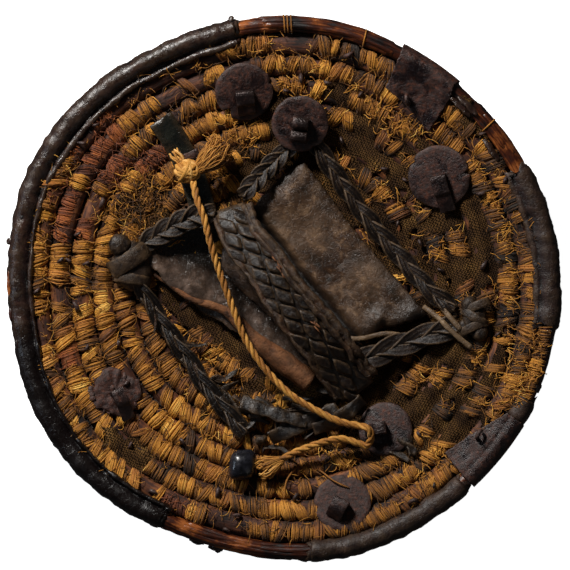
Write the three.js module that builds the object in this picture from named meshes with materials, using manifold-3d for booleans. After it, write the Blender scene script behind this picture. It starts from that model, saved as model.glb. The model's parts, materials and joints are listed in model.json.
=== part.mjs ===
// Round buckler of coiled cane, lying on its front with the hand side up.
// Millimetres, +Z up, origin at the middle of the flat spot on the front.
import * as THREE from "three";
import { mergeVertices } from "three/addons/utils/BufferGeometryUtils.js";
import Module from "manifold-3d";

// Outline and dish
const RIM_RADIUS = 180;
const DISH_DEPTH = 28;
const FLAT_SPOT_RADIUS = 38;
const FACETS_ROUND = 40;
const OUTLINE_WAVES = [
  { lobes: 2, share: 0.0106, turn: -20.3 },
  { lobes: 5, share: 0.007, turn: 2.8 },
  { lobes: 6, share: 0.0045, turn: -25.5 },
];

// Layers, from the front to the hand side
const FIT_GAP = 0.35;
const FRONT_LEATHER = 2.2;
const CANE_THICKNESS = 9;
const COIL_COUNT = 12;
const PLAIN_COILS = 5;
const COIL_GROOVE = 2.8;
const CLOTH_THICKNESS = 1.2;
const CLOTH_EDGE = 2.5;

// Rim
const ROD_RADIUS = 5.2;
const ROD_HEIGHT = 33;
const BINDING_THICKNESS = 1.8;
const PLATE_THICKNESS = 1.6;

// Iron fixings
const ROUNDEL_THICKNESS = 1.8;
const STRAP_IRON = 2.4;
const SLOT_GAP = 0.4;
const LARGEST_ROUNDEL = 20.5;
const HEAD_RADIUS = 8;
const HEAD_HEIGHT = 3;
const NAIL_RADIUS = 1.4;

// Handle
const GRIP_WIDTH = 27;
const GRIP_THICKNESS = 4.5;
const GRIP_ROWS = 4;
const GRIP_TABS = 13;
const TAB_LIFT = 1.6;
const BRAID_WAVE = 15;
const PAD_THICKNESS = 8;
const CORD_DIAMETER = 4.5;

// How far the facets of a turned ring cut in behind its true circle.
const FACET_SAG = RIM_RADIUS * (1 - Math.cos(Math.PI / FACETS_ROUND));
const BINDING_GAP = FIT_GAP + FACET_SAG;
const ROD_INSET = BINDING_THICKNESS + BINDING_GAP + ROD_RADIUS;
const ROD_PATH_RADIUS = RIM_RADIUS - ROD_INSET;
const BODY_EDGE = ROD_PATH_RADIUS - ROD_RADIUS - FIT_GAP;
const COIL_WIDTH = BODY_EDGE / COIL_COUNT;
const STACK = FRONT_LEATHER + FIT_GAP + CANE_THICKNESS;
// How deep the dish is under the largest roundel, which is flat.
const SEAT_SAG = (DISH_DEPTH * LARGEST_ROUNDEL ** 2) / (RIM_RADIUS ** 2 - FLAT_SPOT_RADIUS ** 2);
const ON_CLOTH = CLOTH_THICKNESS + 2 * FIT_GAP + SEAT_SAG;
const UP = new THREE.Vector3(0, 0, 1);
const TURN = 2 * Math.PI;

const wasm = await Module();
wasm.setup();

const radians = THREE.MathUtils.degToRad;
const flat = (x, y) => new THREE.Vector2(x, y);
const place = (x, y, z) => new THREE.Vector3(x, y, z);
const onCircle = (radius, angle) => flat(radius * Math.cos(angle), radius * Math.sin(angle));

// How far the hand-shaped outline strays from a true circle at an angle, as a share of the radius.
function stray(angle) {
  const part = (wave) => wave.share * Math.cos(wave.lobes * (angle - radians(wave.turn)));
  return OUTLINE_WAVES.reduce((sum, wave) => sum + part(wave), 0);
}

// Height of the front face: flat in the middle, then a shallow bowl.
function frontHeight(radius) {
  const flatSquare = FLAT_SPOT_RADIUS ** 2;
  const rise = (radius ** 2 - flatSquare) / (RIM_RADIUS ** 2 - flatSquare);
  return DISH_DEPTH * Math.max(0, rise);
}

// Height of the coil crests on the hand side.
function innerHeight(x, y) {
  return frontHeight(Math.hypot(x, y)) + STACK;
}

function solidFrom(geometry) {
  const plain = geometry.clone();
  plain.deleteAttribute("normal");
  plain.deleteAttribute("uv");
  const merged = mergeVertices(plain, 1e-4);
  const mesh = new wasm.Mesh({
    numProp: 3,
    vertProperties: merged.attributes.position.array,
    triVerts: new Uint32Array(merged.index.array),
  });
  return new wasm.Manifold(mesh);
}

function geometryFrom(solid) {
  const mesh = solid.getMesh();
  const geometry = new THREE.BufferGeometry();
  geometry.setAttribute("position", new THREE.BufferAttribute(mesh.vertProperties, mesh.numProp));
  geometry.setIndex(new THREE.BufferAttribute(mesh.triVerts, 1));
  return geometry;
}

function joined(geometries) {
  return geometryFrom(geometries.map(solidFrom).reduce((sum, solid) => sum.add(solid)));
}

function cutBy(geometry, cutters) {
  const whole = solidFrom(geometry);
  return geometryFrom(cutters.map(solidFrom).reduce((sum, tool) => sum.subtract(tool), whole));
}

function meeting(geometry, other) {
  return geometryFrom(solidFrom(geometry).intersect(solidFrom(other)));
}

// Moves every point of a geometry with a function of its x, y and z.
function reshaped(geometry, move) {
  const at = geometry.attributes.position;
  for (let i = 0; i < at.count; i++) {
    const p = move(at.getX(i), at.getY(i), at.getZ(i));
    at.setXYZ(i, p.x, p.y, p.z);
  }
  return geometry;
}

// Turns a closed profile of [radius, height] points about the upright axis.
function turned(profile, facets) {
  return new THREE.LatheGeometry(profile, facets).rotateX(Math.PI / 2);
}

// Pushes a turned layer out to the hand-shaped outline.
function followOutline(geometry) {
  return reshaped(geometry, (x, y, z) => {
    const radius = Math.hypot(x, y);
    if (radius === 0) return place(x, y, z);
    const grown = radius + RIM_RADIUS * stray(Math.atan2(y, x)) * (radius / BODY_EDGE) ** 2;
    return place((x * grown) / radius, (y * grown) / radius, z);
  });
}

// The line of the rim rod between two angles in degrees.
class RimArc extends THREE.Curve {
  constructor(from, to) {
    super();
    this.from = radians(from);
    this.to = radians(to);
  }
  getPoint(t) {
    const angle = this.from + t * (this.to - this.from);
    const radius = ROD_PATH_RADIUS + RIM_RADIUS * stray(angle);
    return place(radius * Math.cos(angle), radius * Math.sin(angle), ROD_HEIGHT);
  }
  getUtoTmapping(u) {
    return u;
  }
}

function line(points) {
  return new THREE.CatmullRomCurve3(points.map((p) => place(...p)));
}

// A line over the hand side, of [x, y, lift above the coils] points.
function lineOver(points) {
  return line(points.map(([x, y, lift]) => [x, y, innerHeight(x, y) + lift]));
}

// A spot on the hand side given by its angle in degrees and its distance in from the rim.
function fromRim(angle, inset) {
  const radius = RIM_RADIUS - inset;
  return [radius * Math.cos(radians(angle)), radius * Math.sin(radians(angle))];
}

const outlineOf = (points) => points.map(([x, y]) => flat(x, y));

// A section carried along a curve, level across.
// Shape bends a section point (across, lift) at a share of the way.
function swept(section, curve, steps, shape = (across, lift) => [across, lift]) {
  const outline = new THREE.Shape(section);
  const prism = new THREE.ExtrudeGeometry(outline, { depth: 1, steps, bevelEnabled: false });
  return reshaped(prism, (x, y, along) => {
    const tangent = curve.getTangentAt(along);
    const side = new THREE.Vector3().crossVectors(UP, tangent).normalize();
    const rise = new THREE.Vector3().crossVectors(tangent, side);
    const [across, lift] = shape(x, y, along);
    return curve.getPointAt(along).addScaledVector(side, across).addScaledVector(rise, lift);
  });
}

function prismOf(points, depth) {
  return new THREE.ExtrudeGeometry(new THREE.Shape(points), { depth, bevelEnabled: false });
}

// The frame of a spot on the hand side, its z axis square to the dish.
function seat([x, y], lift = 0, turn = 0) {
  const slope = (2 * DISH_DEPTH) / (RIM_RADIUS ** 2 - FLAT_SPOT_RADIUS ** 2);
  const normal = place(-slope * x, -slope * y, 1).normalize();
  const tilt = new THREE.Quaternion().setFromUnitVectors(UP, normal);
  const spin = new THREE.Quaternion().setFromAxisAngle(UP, radians(turn));
  const centre = place(x, y, innerHeight(x, y)).addScaledVector(normal, lift);
  return new THREE.Matrix4().compose(centre, tilt.multiply(spin), place(1, 1, 1));
}

function roundSection(radius, sides) {
  return Array.from({ length: sides }, (_, i) => onCircle(radius, (TURN * (i + 0.5)) / sides));
}

// An egg-shaped lump of half sizes a, b and c with a flat underside.
function lump(a, b, c, facets = 12) {
  const profile = [flat(0, -0.55), flat(0.8, -0.5), flat(1, 0), flat(0.75, 0.65), flat(0, 1)];
  return turned(profile, facets).scale(a, b, c);
}

// Body

const DISH_STATIONS = [0, 0.25, 0.5, 0.75, 1].map(
  (share) => FLAT_SPOT_RADIUS + share * (BODY_EDGE - FLAT_SPOT_RADIUS),
);

function coilProfile() {
  const bottom = DISH_STATIONS.map((radius) => flat(radius, frontHeight(radius) + FRONT_LEATHER + FIT_GAP));
  const top = [];
  for (let coil = COIL_COUNT - 1; coil >= PLAIN_COILS; coil--) {
    const outer = (coil + 1) * COIL_WIDTH;
    const drop = [COIL_GROOVE, COIL_GROOVE / 6, COIL_GROOVE / 6];
    [0, 0.3, 0.7].forEach((share, i) => {
      const radius = outer - share * COIL_WIDTH;
      top.push(flat(radius, innerHeight(radius, 0) - drop[i]));
    });
  }
  const plain = PLAIN_COILS * COIL_WIDTH;
  top.push(flat(plain, innerHeight(plain, 0) - COIL_GROOVE / 2));
  top.push(flat(0, STACK - COIL_GROOVE / 2));
  return [flat(0, FRONT_LEATHER + FIT_GAP), ...bottom, ...top];
}

function leatherProfile() {
  const outside = DISH_STATIONS.map((radius) => flat(radius, frontHeight(radius)));
  const inside = DISH_STATIONS.map((radius) => flat(radius, frontHeight(radius) + FRONT_LEATHER)).reverse();
  return [flat(0, 0), ...outside, ...inside, flat(0, FRONT_LEATHER)];
}

const CLOTH_OUTLINE = [
  [-28, 111], fromRim(93.7, 41.7), fromRim(85.6, 35.6), fromRim(73.1, 38.9), fromRim(66.9, 47.4),
  fromRim(54.9, 44.3), fromRim(46.5, 44.9), fromRim(33.9, 33.0), fromRim(24.3, 34.1),
  fromRim(11.4, 33.1), fromRim(-9.3, 32.0), fromRim(-21.5, 24.2), fromRim(-37.5, 17.4),
  fromRim(-49.8, 20.3), fromRim(-55.7, 43.3), fromRim(-66.1, 56.4), fromRim(-76.5, 73.0),
  [-20, -72], [-36, -92],
  [-57, -89], [-61, -60], [-54, -40], [-80, -8], [-86, 17], [-47, 51], [-37, 83],
];

function clothCap() {
  const radii = DISH_STATIONS.map((radius) => radius - CLOTH_EDGE);
  const lift = FIT_GAP + CLOTH_THICKNESS;
  const under = radii.map((radius) => flat(radius, innerHeight(radius, 0) + FIT_GAP));
  const over = radii.map((radius) => flat(radius, innerHeight(radius, 0) + lift)).reverse();
  const cap = turned([flat(0, STACK + FIT_GAP), ...under, ...over, flat(0, STACK + lift)], 28);
  const outline = prismOf(outlineOf(CLOTH_OUTLINE), 60);
  return meeting(cap, outline);
}

// Rim

// The angle in degrees that a width takes up along the rim.
function spanOf(width) {
  return THREE.MathUtils.radToDeg(width / RIM_RADIUS);
}

// The binding's section round the rod, as [outward, up] points, with a lip that lies on the coils.
function bindingSection(lip) {
  const near = ROD_RADIUS + BINDING_GAP;
  const far = near + BINDING_THICKNESS;
  const onArc = (radius, degrees) => onCircle(radius, radians(degrees));
  const outer = [-112.5, -67.5, -22.5, 22.5, 67.5, 112.5].map((degrees) => onArc(far, degrees));
  const inner = [112.5, 67.5, 22.5, -22.5, -67.5, -112.5].map((degrees) => onArc(near, degrees));
  const start = near + FIT_GAP;
  const height = (outward) => innerHeight(ROD_PATH_RADIUS + outward, 0) - ROD_HEIGHT + FIT_GAP;
  if (lip === 0) return [...outer, ...inner];
  const lipPoints = [
    flat(-start, far - 1),
    flat(-start - lip, height(-start - lip) + BINDING_THICKNESS),
    flat(-start - lip, height(-start - lip)),
    flat(-start, height(-start)),
    flat(-start + BINDING_THICKNESS, near),
  ];
  return [...outer, ...lipPoints, ...inner.slice(1)];
}

function rimBinding({ from, to, lip }) {
  const section = bindingSection(lip).map((p) => flat(-p.x, p.y));
  const steps = Math.round(((to - from) / 360) * FACETS_ROUND);
  return swept(section, new RimArc(from, to), steps);
}

// An iron plate folded over the rim, cut to its worn outline.
function rimPlate({ angle, width, reach, outline }) {
  const near = ROD_RADIUS + BINDING_GAP;
  const far = near + PLATE_THICKNESS;
  const lift = 3 * FIT_GAP + CLOTH_THICKNESS;
  const level = (outward) => innerHeight(ROD_PATH_RADIUS + outward, 0) - ROD_HEIGHT + lift;
  const profile = [
    flat(-near, level(-near)),
    flat(-near / 2, near),
    flat(near / 2, near),
    flat(near, near / 2),
    flat(near, -near / 2),
    flat(near / 2, -near),
    flat(-near / 2, -near),
    flat(-near / 2, -far),
    flat(far / 2, -far),
    flat(far, -far / 2),
    flat(far, far / 2),
    flat(far / 2, far),
    flat(-near / 2, far),
    flat(-near, level(-near) + PLATE_THICKNESS),
    flat(-reach, level(-reach) + PLATE_THICKNESS),
    flat(-reach, level(-reach)),
  ];
  const half = spanOf(width) / 2;
  const folded = swept(profile.map((p) => flat(-p.x, p.y)), new RimArc(angle - half, angle + half), 3);
  return meeting(folded, prismOf(outlineOf(outline), 60));
}

// A flat pin whose end is curled over a plate; size is the height of the curl's middle.
function curledPin(at, turn, size) {
  const inner = size * 0.45;
  const outer = inner + 2 * NAIL_RADIUS;
  const onCurl = (radius, degrees) => onCircle(radius, radians(degrees)).add(flat(0, size));
  const over = [180, 135, 90, 45, 0, -30];
  const back = [...over].reverse();
  const hook = [
    flat(-outer, 0),
    ...over.map((degrees) => onCurl(outer, degrees)),
    ...back.map((degrees) => onCurl(inner, degrees)),
    flat(-inner, 0),
  ];
  const pin = prismOf(hook.reverse(), 2 * NAIL_RADIUS).translate(0, 0, -NAIL_RADIUS).rotateX(Math.PI / 2);
  return pin.applyMatrix4(seat(at, PLATE_THICKNESS + CLOTH_THICKNESS + 7 * FIT_GAP, turn));
}

// Iron fixings

const FIXINGS = [
  { name: "top_left", at: fromRim(101.0, 49.0), turn: 188, lift: ON_CLOTH,
    radius: 18.9, width: 12, length: 14, rise: 6 },
  { name: "handle_top", at: [11.7, 109], turn: 172, lift: 10.2,
    radius: 18.5, width: 11, length: 13, rise: 6.5 },
  { name: "upper_right", at: fromRim(35.4, 54.2), turn: 196, lift: ON_CLOTH,
    radius: LARGEST_ROUNDEL, width: 10.4, length: 22, rise: 5.5 },
  { name: "lower_left", at: fromRim(-148.2, 51.7), turn: 190, lift: 0.6,
    radius: 16.5, width: 9, length: 19, rise: 5 },
  { name: "handle_lower", at: [67.4, -92.4], turn: 100, lift: ON_CLOTH,
    radius: 17.6, width: 8, length: 12, rise: 9 },
  { name: "bottom", at: fromRim(-74.4, 34.6), turn: 150, lift: 0.6,
    radius: 18.6, width: 11, length: 11, rise: 8 },
];

function roundel(fixing) {
  const disc = new THREE.Shape(roundSection(fixing.radius, 16));
  const halfWidth = fixing.width / 2 + SLOT_GAP;
  const halfDepth = STRAP_IRON / 2 + SLOT_GAP;
  disc.holes.push(new THREE.Path([
    flat(-halfWidth, -halfDepth), flat(-halfWidth, halfDepth),
    flat(halfWidth, halfDepth), flat(halfWidth, -halfDepth),
  ]));
  const plate = new THREE.ExtrudeGeometry(disc, { depth: ROUNDEL_THICKNESS, bevelEnabled: false });
  return plate.applyMatrix4(seat(fixing.at, fixing.lift, fixing.turn));
}

// The front head, the post through the layers and the strap bent over the roundel, as one forging.
function strapPin(fixing) {
  const top = fixing.lift + ROUNDEL_THICKNESS + FIT_GAP;
  const rise = top + fixing.rise;
  const foot = -STACK - FIT_GAP;
  const half = STRAP_IRON / 2;
  const bend = 0.5 * fixing.length;
  const side = [
    flat(-half, foot - 1), flat(half, foot - 1),
    flat(half, rise - STRAP_IRON), flat(bend, rise - STRAP_IRON),
    flat(fixing.length, top), flat(fixing.length, top + STRAP_IRON),
    flat(bend + half, rise), flat(-half, rise),
  ];
  const strap = prismOf(side, fixing.width).translate(0, 0, -fixing.width / 2);
  strap.applyMatrix4(new THREE.Matrix4().makeBasis(place(0, 1, 0), UP, place(1, 0, 0)));
  const dome = [
    flat(0, -HEAD_HEIGHT), flat(HEAD_RADIUS * 0.7, -HEAD_HEIGHT * 0.6), flat(HEAD_RADIUS, 0), flat(0, 0),
  ];
  const head = turned(dome, 12);
  head.translate(0, 0, foot);
  return joined([strap, head]).applyMatrix4(seat(fixing.at, 0, fixing.turn));
}

function strapSlot(fixing) {
  const width = fixing.width + 2 * SLOT_GAP;
  const depth = STRAP_IRON + 2 * SLOT_GAP;
  return new THREE.BoxGeometry(width, depth, 4 * STACK).applyMatrix4(seat(fixing.at, 0, fixing.turn));
}

const NAILS = [
  { at: fromRim(153.8, 49.0), turn: 250 },
  { at: fromRim(-173.9, 45.4), turn: 120 },
  { at: fromRim(-107.8, 42.5), turn: 260 },
  { at: fromRim(74.9, 23.6), turn: 30 },
  { at: fromRim(5.4, 48.9), turn: 60 },
  { at: fromRim(-57.6, 16.5), turn: 200 },
];

// A nail through the layers, its point bent down on the hand side.
function nail({ at, turn }) {
  const reach = 5;
  const foot = -STACK - FIT_GAP;
  const shank = turned([
    flat(0, foot - 1.5), flat(3.6, foot), flat(NAIL_RADIUS, foot), flat(NAIL_RADIUS, 3.4), flat(0, 4),
  ], 4);
  const tip = new THREE.BoxGeometry(reach, 1.6, 1.4).translate(reach / 2, 0, 3);
  return joined([shank, tip]).applyMatrix4(seat(at, 0, turn));
}

function boreAt({ at, turn = 0 }, radius, sides) {
  const tool = new THREE.CylinderGeometry(radius, radius, 4 * STACK, sides).rotateX(Math.PI / 2);
  return tool.applyMatrix4(seat(at, 0, turn));
}

const KNOB = { at: fromRim(-102.8, 60.5), radius: 8.6, height: 15, stem: 3 };

function knob() {
  const foot = -STACK - FIT_GAP;
  const profile = [
    flat(0, foot - HEAD_HEIGHT), flat(HEAD_RADIUS, foot), flat(KNOB.stem, foot), flat(KNOB.stem, 2),
    flat(KNOB.radius * 0.75, 3), flat(KNOB.radius, 7), flat(KNOB.radius * 0.9, 12),
    flat(KNOB.radius * 0.5, KNOB.height), flat(0, KNOB.height + 0.5),
  ];
  return turned(profile, 10).applyMatrix4(seat(KNOB.at));
}

// Handle

// A flat plait seen as two rows of lobes with a groove between.
function braid(points, width, thickness) {
  const a = width / 2;
  const b = thickness / 2;
  const section = [
    flat(-a, -b * 0.2), flat(0, -b), flat(a, -b * 0.2),
    flat(a * 0.6, b), flat(0, b * 0.55), flat(-a * 0.6, b),
  ];
  const curve = lineOver(points);
  const waves = Math.max(1, Math.round(curve.getLength() / BRAID_WAVE));
  const bulge = (across, lift, along) => {
    const phase = TURN * waves * along + (across > 0 ? Math.PI : 0);
    const swell = Math.sin(phase);
    return [across * (1 + 0.1 * swell), lift > 0 ? lift * (1 + 0.3 * swell) : lift];
  };
  return swept(section, curve, waves * 3, bulge);
}

const GRIP_LINE = lineOver([
  [-34.5, 53.5, 17.1], [-27.3, 33.6, 29.1], [-13, 15.7, 34], [0.3, -4.4, 35.5], [18.3, -26, 33.5],
  [30, -41.8, 27.9], [41.5, -57.5, 17.2], [50, -69.5, 9.1],
]);

// The grip widens towards its lower end.
function gripShape(across, lift, along) {
  return [across * (0.82 + 0.26 * along), lift];
}

// The plait's face: rows of tabs that stand up and lie down by turns, with a groove between rows.
function grip() {
  const a = GRIP_WIDTH / 2;
  const b = GRIP_THICKNESS / 2;
  const steps = 2 * Math.round(GRIP_TABS);
  const rowWidth = (0.85 * GRIP_WIDTH) / GRIP_ROWS;
  const face = Array.from({ length: 2 * GRIP_ROWS + 1 }, (_, i) => flat(-a * 0.7 + (i * rowWidth) / 2, b));
  const section = [
    flat(-a, -b * 0.3), flat(-a * 0.8, -b), flat(a * 0.8, -b), ...face.reverse(), flat(-a * 0.85, b * 1.8),
  ];
  const tabbed = (across, lift, along) => {
    const row = (across + a * 0.7) / rowWidth;
    const onTab = lift === b && Math.abs((row % 1) - 0.5) < 0.1;
    const up = (Math.round(steps * along) + Math.floor(row)) % 2;
    return gripShape(across, onTab ? lift + TAB_LIFT * (up ? 1 : 0.25) : lift, along);
  };
  return swept(section, GRIP_LINE, steps, tabbed);
}

const PAD_OUTLINE = [
  [14.5, 85], [30, 64.5], [46.5, 41.5], [66, 18.5], [88, -7], [95, -19], [63, -30], [41, -44],
  [13, -44.5], [-11.5, -18.5], [-32.5, 1], [-42, 17.5], [-36, 36], [-24, 50], [-15, 61], [-2, 74],
];

function cushion() {
  const bevel = PAD_THICKNESS / 3;
  const settings = {
    depth: PAD_THICKNESS - 2 * bevel, bevelEnabled: true, bevelSize: bevel, bevelOffset: -bevel,
    bevelThickness: bevel, bevelSegments: 2,
  };
  const pad = new THREE.ExtrudeGeometry(new THREE.Shape(outlineOf(PAD_OUTLINE)), settings);
  const floor = FIT_GAP * 3 + CLOTH_THICKNESS + bevel;
  return reshaped(pad, (x, y, z) => place(x, y, z + innerHeight(x, y) + floor));
}

const FLAP_OUTLINE = [
  [-84, 10], [-44, 14.5], [-35, -1], [-14, -21.5], [9, -46], [2, -50], [-13.3, -38], [-30.9, -19],
  [-50.5, -13], [-66.7, -5.5], [-80, 0.5],
];

// The torn half of the pad's leather, its edge rolled up.
function tornFlap() {
  const sheet = prismOf(outlineOf(FLAP_OUTLINE), FRONT_LEATHER);
  reshaped(sheet, (x, y, z) => place(x, y, z + innerHeight(x, y) + 6));
  const roll = lineOver([[-33, -19, 9.4], [-16, -33, 10.4], [2, -48, 10.7], [17, -60, 9.2]]);
  return joined([sheet, swept(roundSection(5.6, 8), roll, 6)]);
}

function flatStrap() {
  const points = [[-79.7, 110], [-70, 96], [-61.5, 79], [-55, 62], [-51, 46]];
  const curve = lineOver(points.map((spot) => [...spot, CLOTH_THICKNESS + 2 * FIT_GAP + 1.5]));
  return swept([flat(-8, -1.2), flat(8, -1.2), flat(8, 1.2), flat(-8, 1.2)], curve, 8);
}

function strapStaple() {
  const arch = [
    flat(-5, 0), flat(-5, 4), flat(5, 4), flat(5, 0), flat(3, 0), flat(3, 2), flat(-3, 2), flat(-3, 0),
  ];
  const staple = prismOf(arch, 5).translate(0, 0, -2.5).rotateX(Math.PI / 2);
  return staple.applyMatrix4(seat([-60, 88], CLOTH_THICKNESS + 2 * FIT_GAP + 3.3, 25));
}

function leftCorner() {
  const wrap = lump(12.5, 16, 9);
  const bulge = lump(7, 6, 7, 8).translate(1, 14, 2);
  const rivet = lump(3, 3, 2.5, 8).translate(3, -7, 6.2);
  const tail = new THREE.BoxGeometry(8, 16, 3).translate(-9, -4, -2.5);
  return joined([wrap, bulge, rivet, tail]).applyMatrix4(seat([-101, 19], 6.5, 10));
}

function rightCorner() {
  const knot = lump(10, 14, 7);
  const upper = lump(8, 7, 6, 8).translate(2, 13, 0);
  const thong = swept([flat(-3, -1.5), flat(3, -1.5), flat(3, 1.5), flat(-3, 1.5)], line([
    [6, 8, 4], [-2, 0, 8], [-10, -9, 4], [-14, -15, -1],
  ]), 5);
  return joined([knot, upper, thong]).applyMatrix4(seat([126, -20], 5.8, -10));
}

function brokenLeather() {
  const band = [flat(-6, -1.3), flat(6, -1.3), flat(6, 1.3), flat(0, 2.6), flat(-6, 1.3)];
  const lower = swept(band, lineOver([[-8, -98, 9], [8, -91, 9.2], [24, -84, 9.4], [34, -79, 10.1]]), 6);
  const upper = swept(band, lineOver([[-23, -74.5, 9.7], [-13, -79, 12], [2, -84, 11.4], [14, -86, 9.9]]), 6);
  return joined([lower, upper]);
}

const CORD_LINE = line([
  [-58, 69, 33], [-55.5, 57.5, 38], [-51, 46, 40.5], [-47, 30, 40], [-41.3, 11.7, 37], [-33, -11, 34.5],
  [-23.8, -33.9, 33.5], [-11, -53, 33], [4.9, -69, 34], [21, -79, 35], [36.8, -86.6, 35.2], [50, -89.5, 36],
  [55.5, -91, 39], [57.5, -97, 36], [54.5, -102.5, 32], [48, -100.5, 32.5], [38, -98, 33], [27.7, -99.8, 33],
  [17.9, -103, 32.5], [6.8, -107.5, 32], [-3, -112.7, 31.5],
]);

function cord() {
  return swept(roundSection(CORD_DIAMETER / 2, 8), CORD_LINE, 30);
}

function cordKnot() {
  const spot = [-62, 76];
  return lump(8, 7, 6, 10).translate(...spot, innerHeight(...spot) + 12.6);
}

// A tuft of loosened yarn, widening away from the cord.
function tuft(points, narrow, wide) {
  const grow = (across, lift, along) => {
    const radius = narrow + (wide - narrow) * Math.sin((Math.PI / 2) * along);
    return [across * radius, lift * radius * 0.6];
  };
  return swept(roundSection(1, 8), lineOver(points), 4, grow);
}

// Build

const slots = FIXINGS.map(strapSlot);
const bores = [
  ...NAILS.map((spot) => boreAt(spot, NAIL_RADIUS + SLOT_GAP, 4)),
  boreAt(KNOB, KNOB.stem + 2 * SLOT_GAP, 8),
];

const rodRing = roundSection(ROD_RADIUS, 8).map((p) => flat(p.x + ROD_PATH_RADIUS, p.y + ROD_HEIGHT));
const rod = turned([...rodRing, rodRing[0]], FACETS_ROUND);

function followRim(geometry) {
  return reshaped(geometry, (x, y, z) => {
    const radius = Math.hypot(x, y);
    const grown = radius + RIM_RADIUS * stray(Math.atan2(y, x));
    return place((x * grown) / radius, (y * grown) / radius, z);
  });
}

const UPPER_PLATE = {
  angle: 56.2,
  width: 50,
  reach: 46,
  outline: [
    fromRim(63.0, -14.1), fromRim(63.1, 34.2), fromRim(57.0, 36.9), fromRim(46.5, 42.1),
    fromRim(48.2, 16.4), fromRim(49.5, 7.6), fromRim(48.4, -24.7), fromRim(59.9, -39.5),
  ],
};
const LOWER_PLATE = {
  angle: -37.5,
  width: 52,
  reach: 34,
  outline: [
    fromRim(-45.8, 30.8), fromRim(-36.1, 24.0), fromRim(-28.7, 13.5), fromRim(-25.0, -18.6),
    fromRim(-37.4, -34.0), fromRim(-49.5, -17.2), fromRim(-46.4, 8.8),
  ],
};
const BOTTOM_BINDING_END = 360 + LOWER_PLATE.angle - spanOf(LOWER_PLATE.width / 2 + 2 * FIT_GAP);
// The rim bindings: their ends in degrees round the rim, and how far a lip lies on the coils.
const LEFT_BINDING = { from: 98.8, to: 243.9, lip: 0 };
const BOTTOM_BINDING = { from: 274.7, to: BOTTOM_BINDING_END, lip: 0 };
const RIGHT_BINDING = { from: -9.8, to: 27.9, lip: 5 };

const LEATHER = { color: "#332a26", roughness: 0.55, metalness: 0 };
const IRON = { color: "#3a2d2a", roughness: 0.6, metalness: 0.8 };
const PAD = { color: "#4a3d33", roughness: 0.6, metalness: 0 };
const YARN = { color: "#b98443", roughness: 0.9, metalness: 0 };

const holes = [...slots, ...bores];
const BRAIDS = {
  top_to_grip: [[6, 91, 5.7], [-8, 80, 8.9], [-18, 69, 14.2], [-24, 63, 16.6]],
  left_to_grip: [[-83, 33, 6.5], [-70, 41, 9.8], [-58, 46.5, 13.8], [-50.5, 49, 16.3]],
  top_to_right: [
    [24, 92, 7.2], [37.4, 70.3, 7], [53.7, 47.5, 6.6],
    [73.2, 24.7, 5.9], [96, -1.3, 5.9], [106, -11, 6],
  ],
  left_to_bottom: [
    [-92, -2, 6.6], [-79.7, -20.8, 5.6], [-63.5, -43.6, 5.9],
    [-50.5, -63.1, 5.8], [KNOB.at[0] - 11, KNOB.at[1] + 37.1, 6.3],
    [KNOB.at[0] + 2, KNOB.at[1] + 20.8, 5.9],
  ],
  grip_to_right: [[58, -42, 9.6], [76, -37.5, 6.3], [94, -31, 5.9], [103, -28, 6.5]],
};

const pieces = [
  ["front_leather", cutBy(followOutline(turned(leatherProfile(), FACETS_ROUND)), holes), LEATHER],
  ["coiled_cane_body", cutBy(followOutline(turned(coilProfile(), FACETS_ROUND)), holes),
    { color: "#96692c", roughness: 0.85, metalness: 0 }],
  ["lining_cloth", cutBy(clothCap(), holes),
    { color: "#6e5330", roughness: 0.95, metalness: 0 }],
  ["rim_cane", followRim(rod), { color: "#8a4326", roughness: 0.5, metalness: 0 }],
  ["rim_leather_left", rimBinding(LEFT_BINDING), LEATHER],
  ["rim_leather_bottom", rimBinding(BOTTOM_BINDING), LEATHER],
  ["rim_leather_right", rimBinding(RIGHT_BINDING), LEATHER],
  ["rim_plate_upper", rimPlate(UPPER_PLATE), IRON],
  ["rim_plate_lower", rimPlate(LOWER_PLATE), IRON],
  ["rim_plate_upper_pin", curledPin(fromRim(56.5, 31.3), 100, 3.4), IRON],
  ["rim_plate_lower_pin", curledPin(fromRim(-36.7, 19.2), 60, 3), IRON],
  ["knob", knob(), { color: "#1d1d20", roughness: 0.25, metalness: 0.2 }],
  ["handle_corner_left", leftCorner(), LEATHER],
  ["handle_corner_right", rightCorner(), LEATHER],
  ["hand_pad", cushion(), PAD],
  ["hand_pad_torn_flap", tornFlap(), PAD],
  ["grip_plait", grip(), LEATHER],
  ["braid_top_to_grip", braid(BRAIDS.top_to_grip, 12, 6), LEATHER],
  ["braid_left_to_grip", braid(BRAIDS.left_to_grip, 12, 6), LEATHER],
  ["braid_top_to_right", braid(BRAIDS.top_to_right, 13, 6), LEATHER],
  ["braid_left_to_bottom", braid(BRAIDS.left_to_bottom, 10, 5.5), LEATHER],
  ["braid_grip_to_right", braid(BRAIDS.grip_to_right, 10, 5.5), LEATHER],
  ["broken_leather", brokenLeather(), LEATHER],
  ["flat_strap", flatStrap(), LEATHER],
  ["strap_staple", strapStaple(), IRON],
  ["cord", cord(), YARN],
  ["cord_knot", cordKnot(), YARN],
  ["cord_tassel_upper",
    tuft([[-53, 79, 12.6], [-46, 84, 13.5], [-38, 91, 13], [-33, 96, 11.4]], 3, 8.5), YARN],
  ["cord_end_tuft", tuft([[-4.5, -113.5, 9.4], [-9, -116, 8.5], [-13.5, -118, 7]], 2.4, 5.5), YARN],
];
FIXINGS.forEach((fixing) => {
  pieces.push(["roundel_" + fixing.name, roundel(fixing), IRON]);
  pieces.push(["strap_pin_" + fixing.name, strapPin(fixing), IRON]);
});
NAILS.forEach((spot, i) => pieces.push(["clinched_nail_" + (i + 1), nail(spot), IRON]));

const buckler = new THREE.Group();
for (const [name, geometry, look] of pieces) {
  const mesh = new THREE.Mesh(geometry, new THREE.MeshStandardMaterial(look));
  mesh.name = name;
  buckler.add(mesh);
}

export default buckler;
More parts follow.
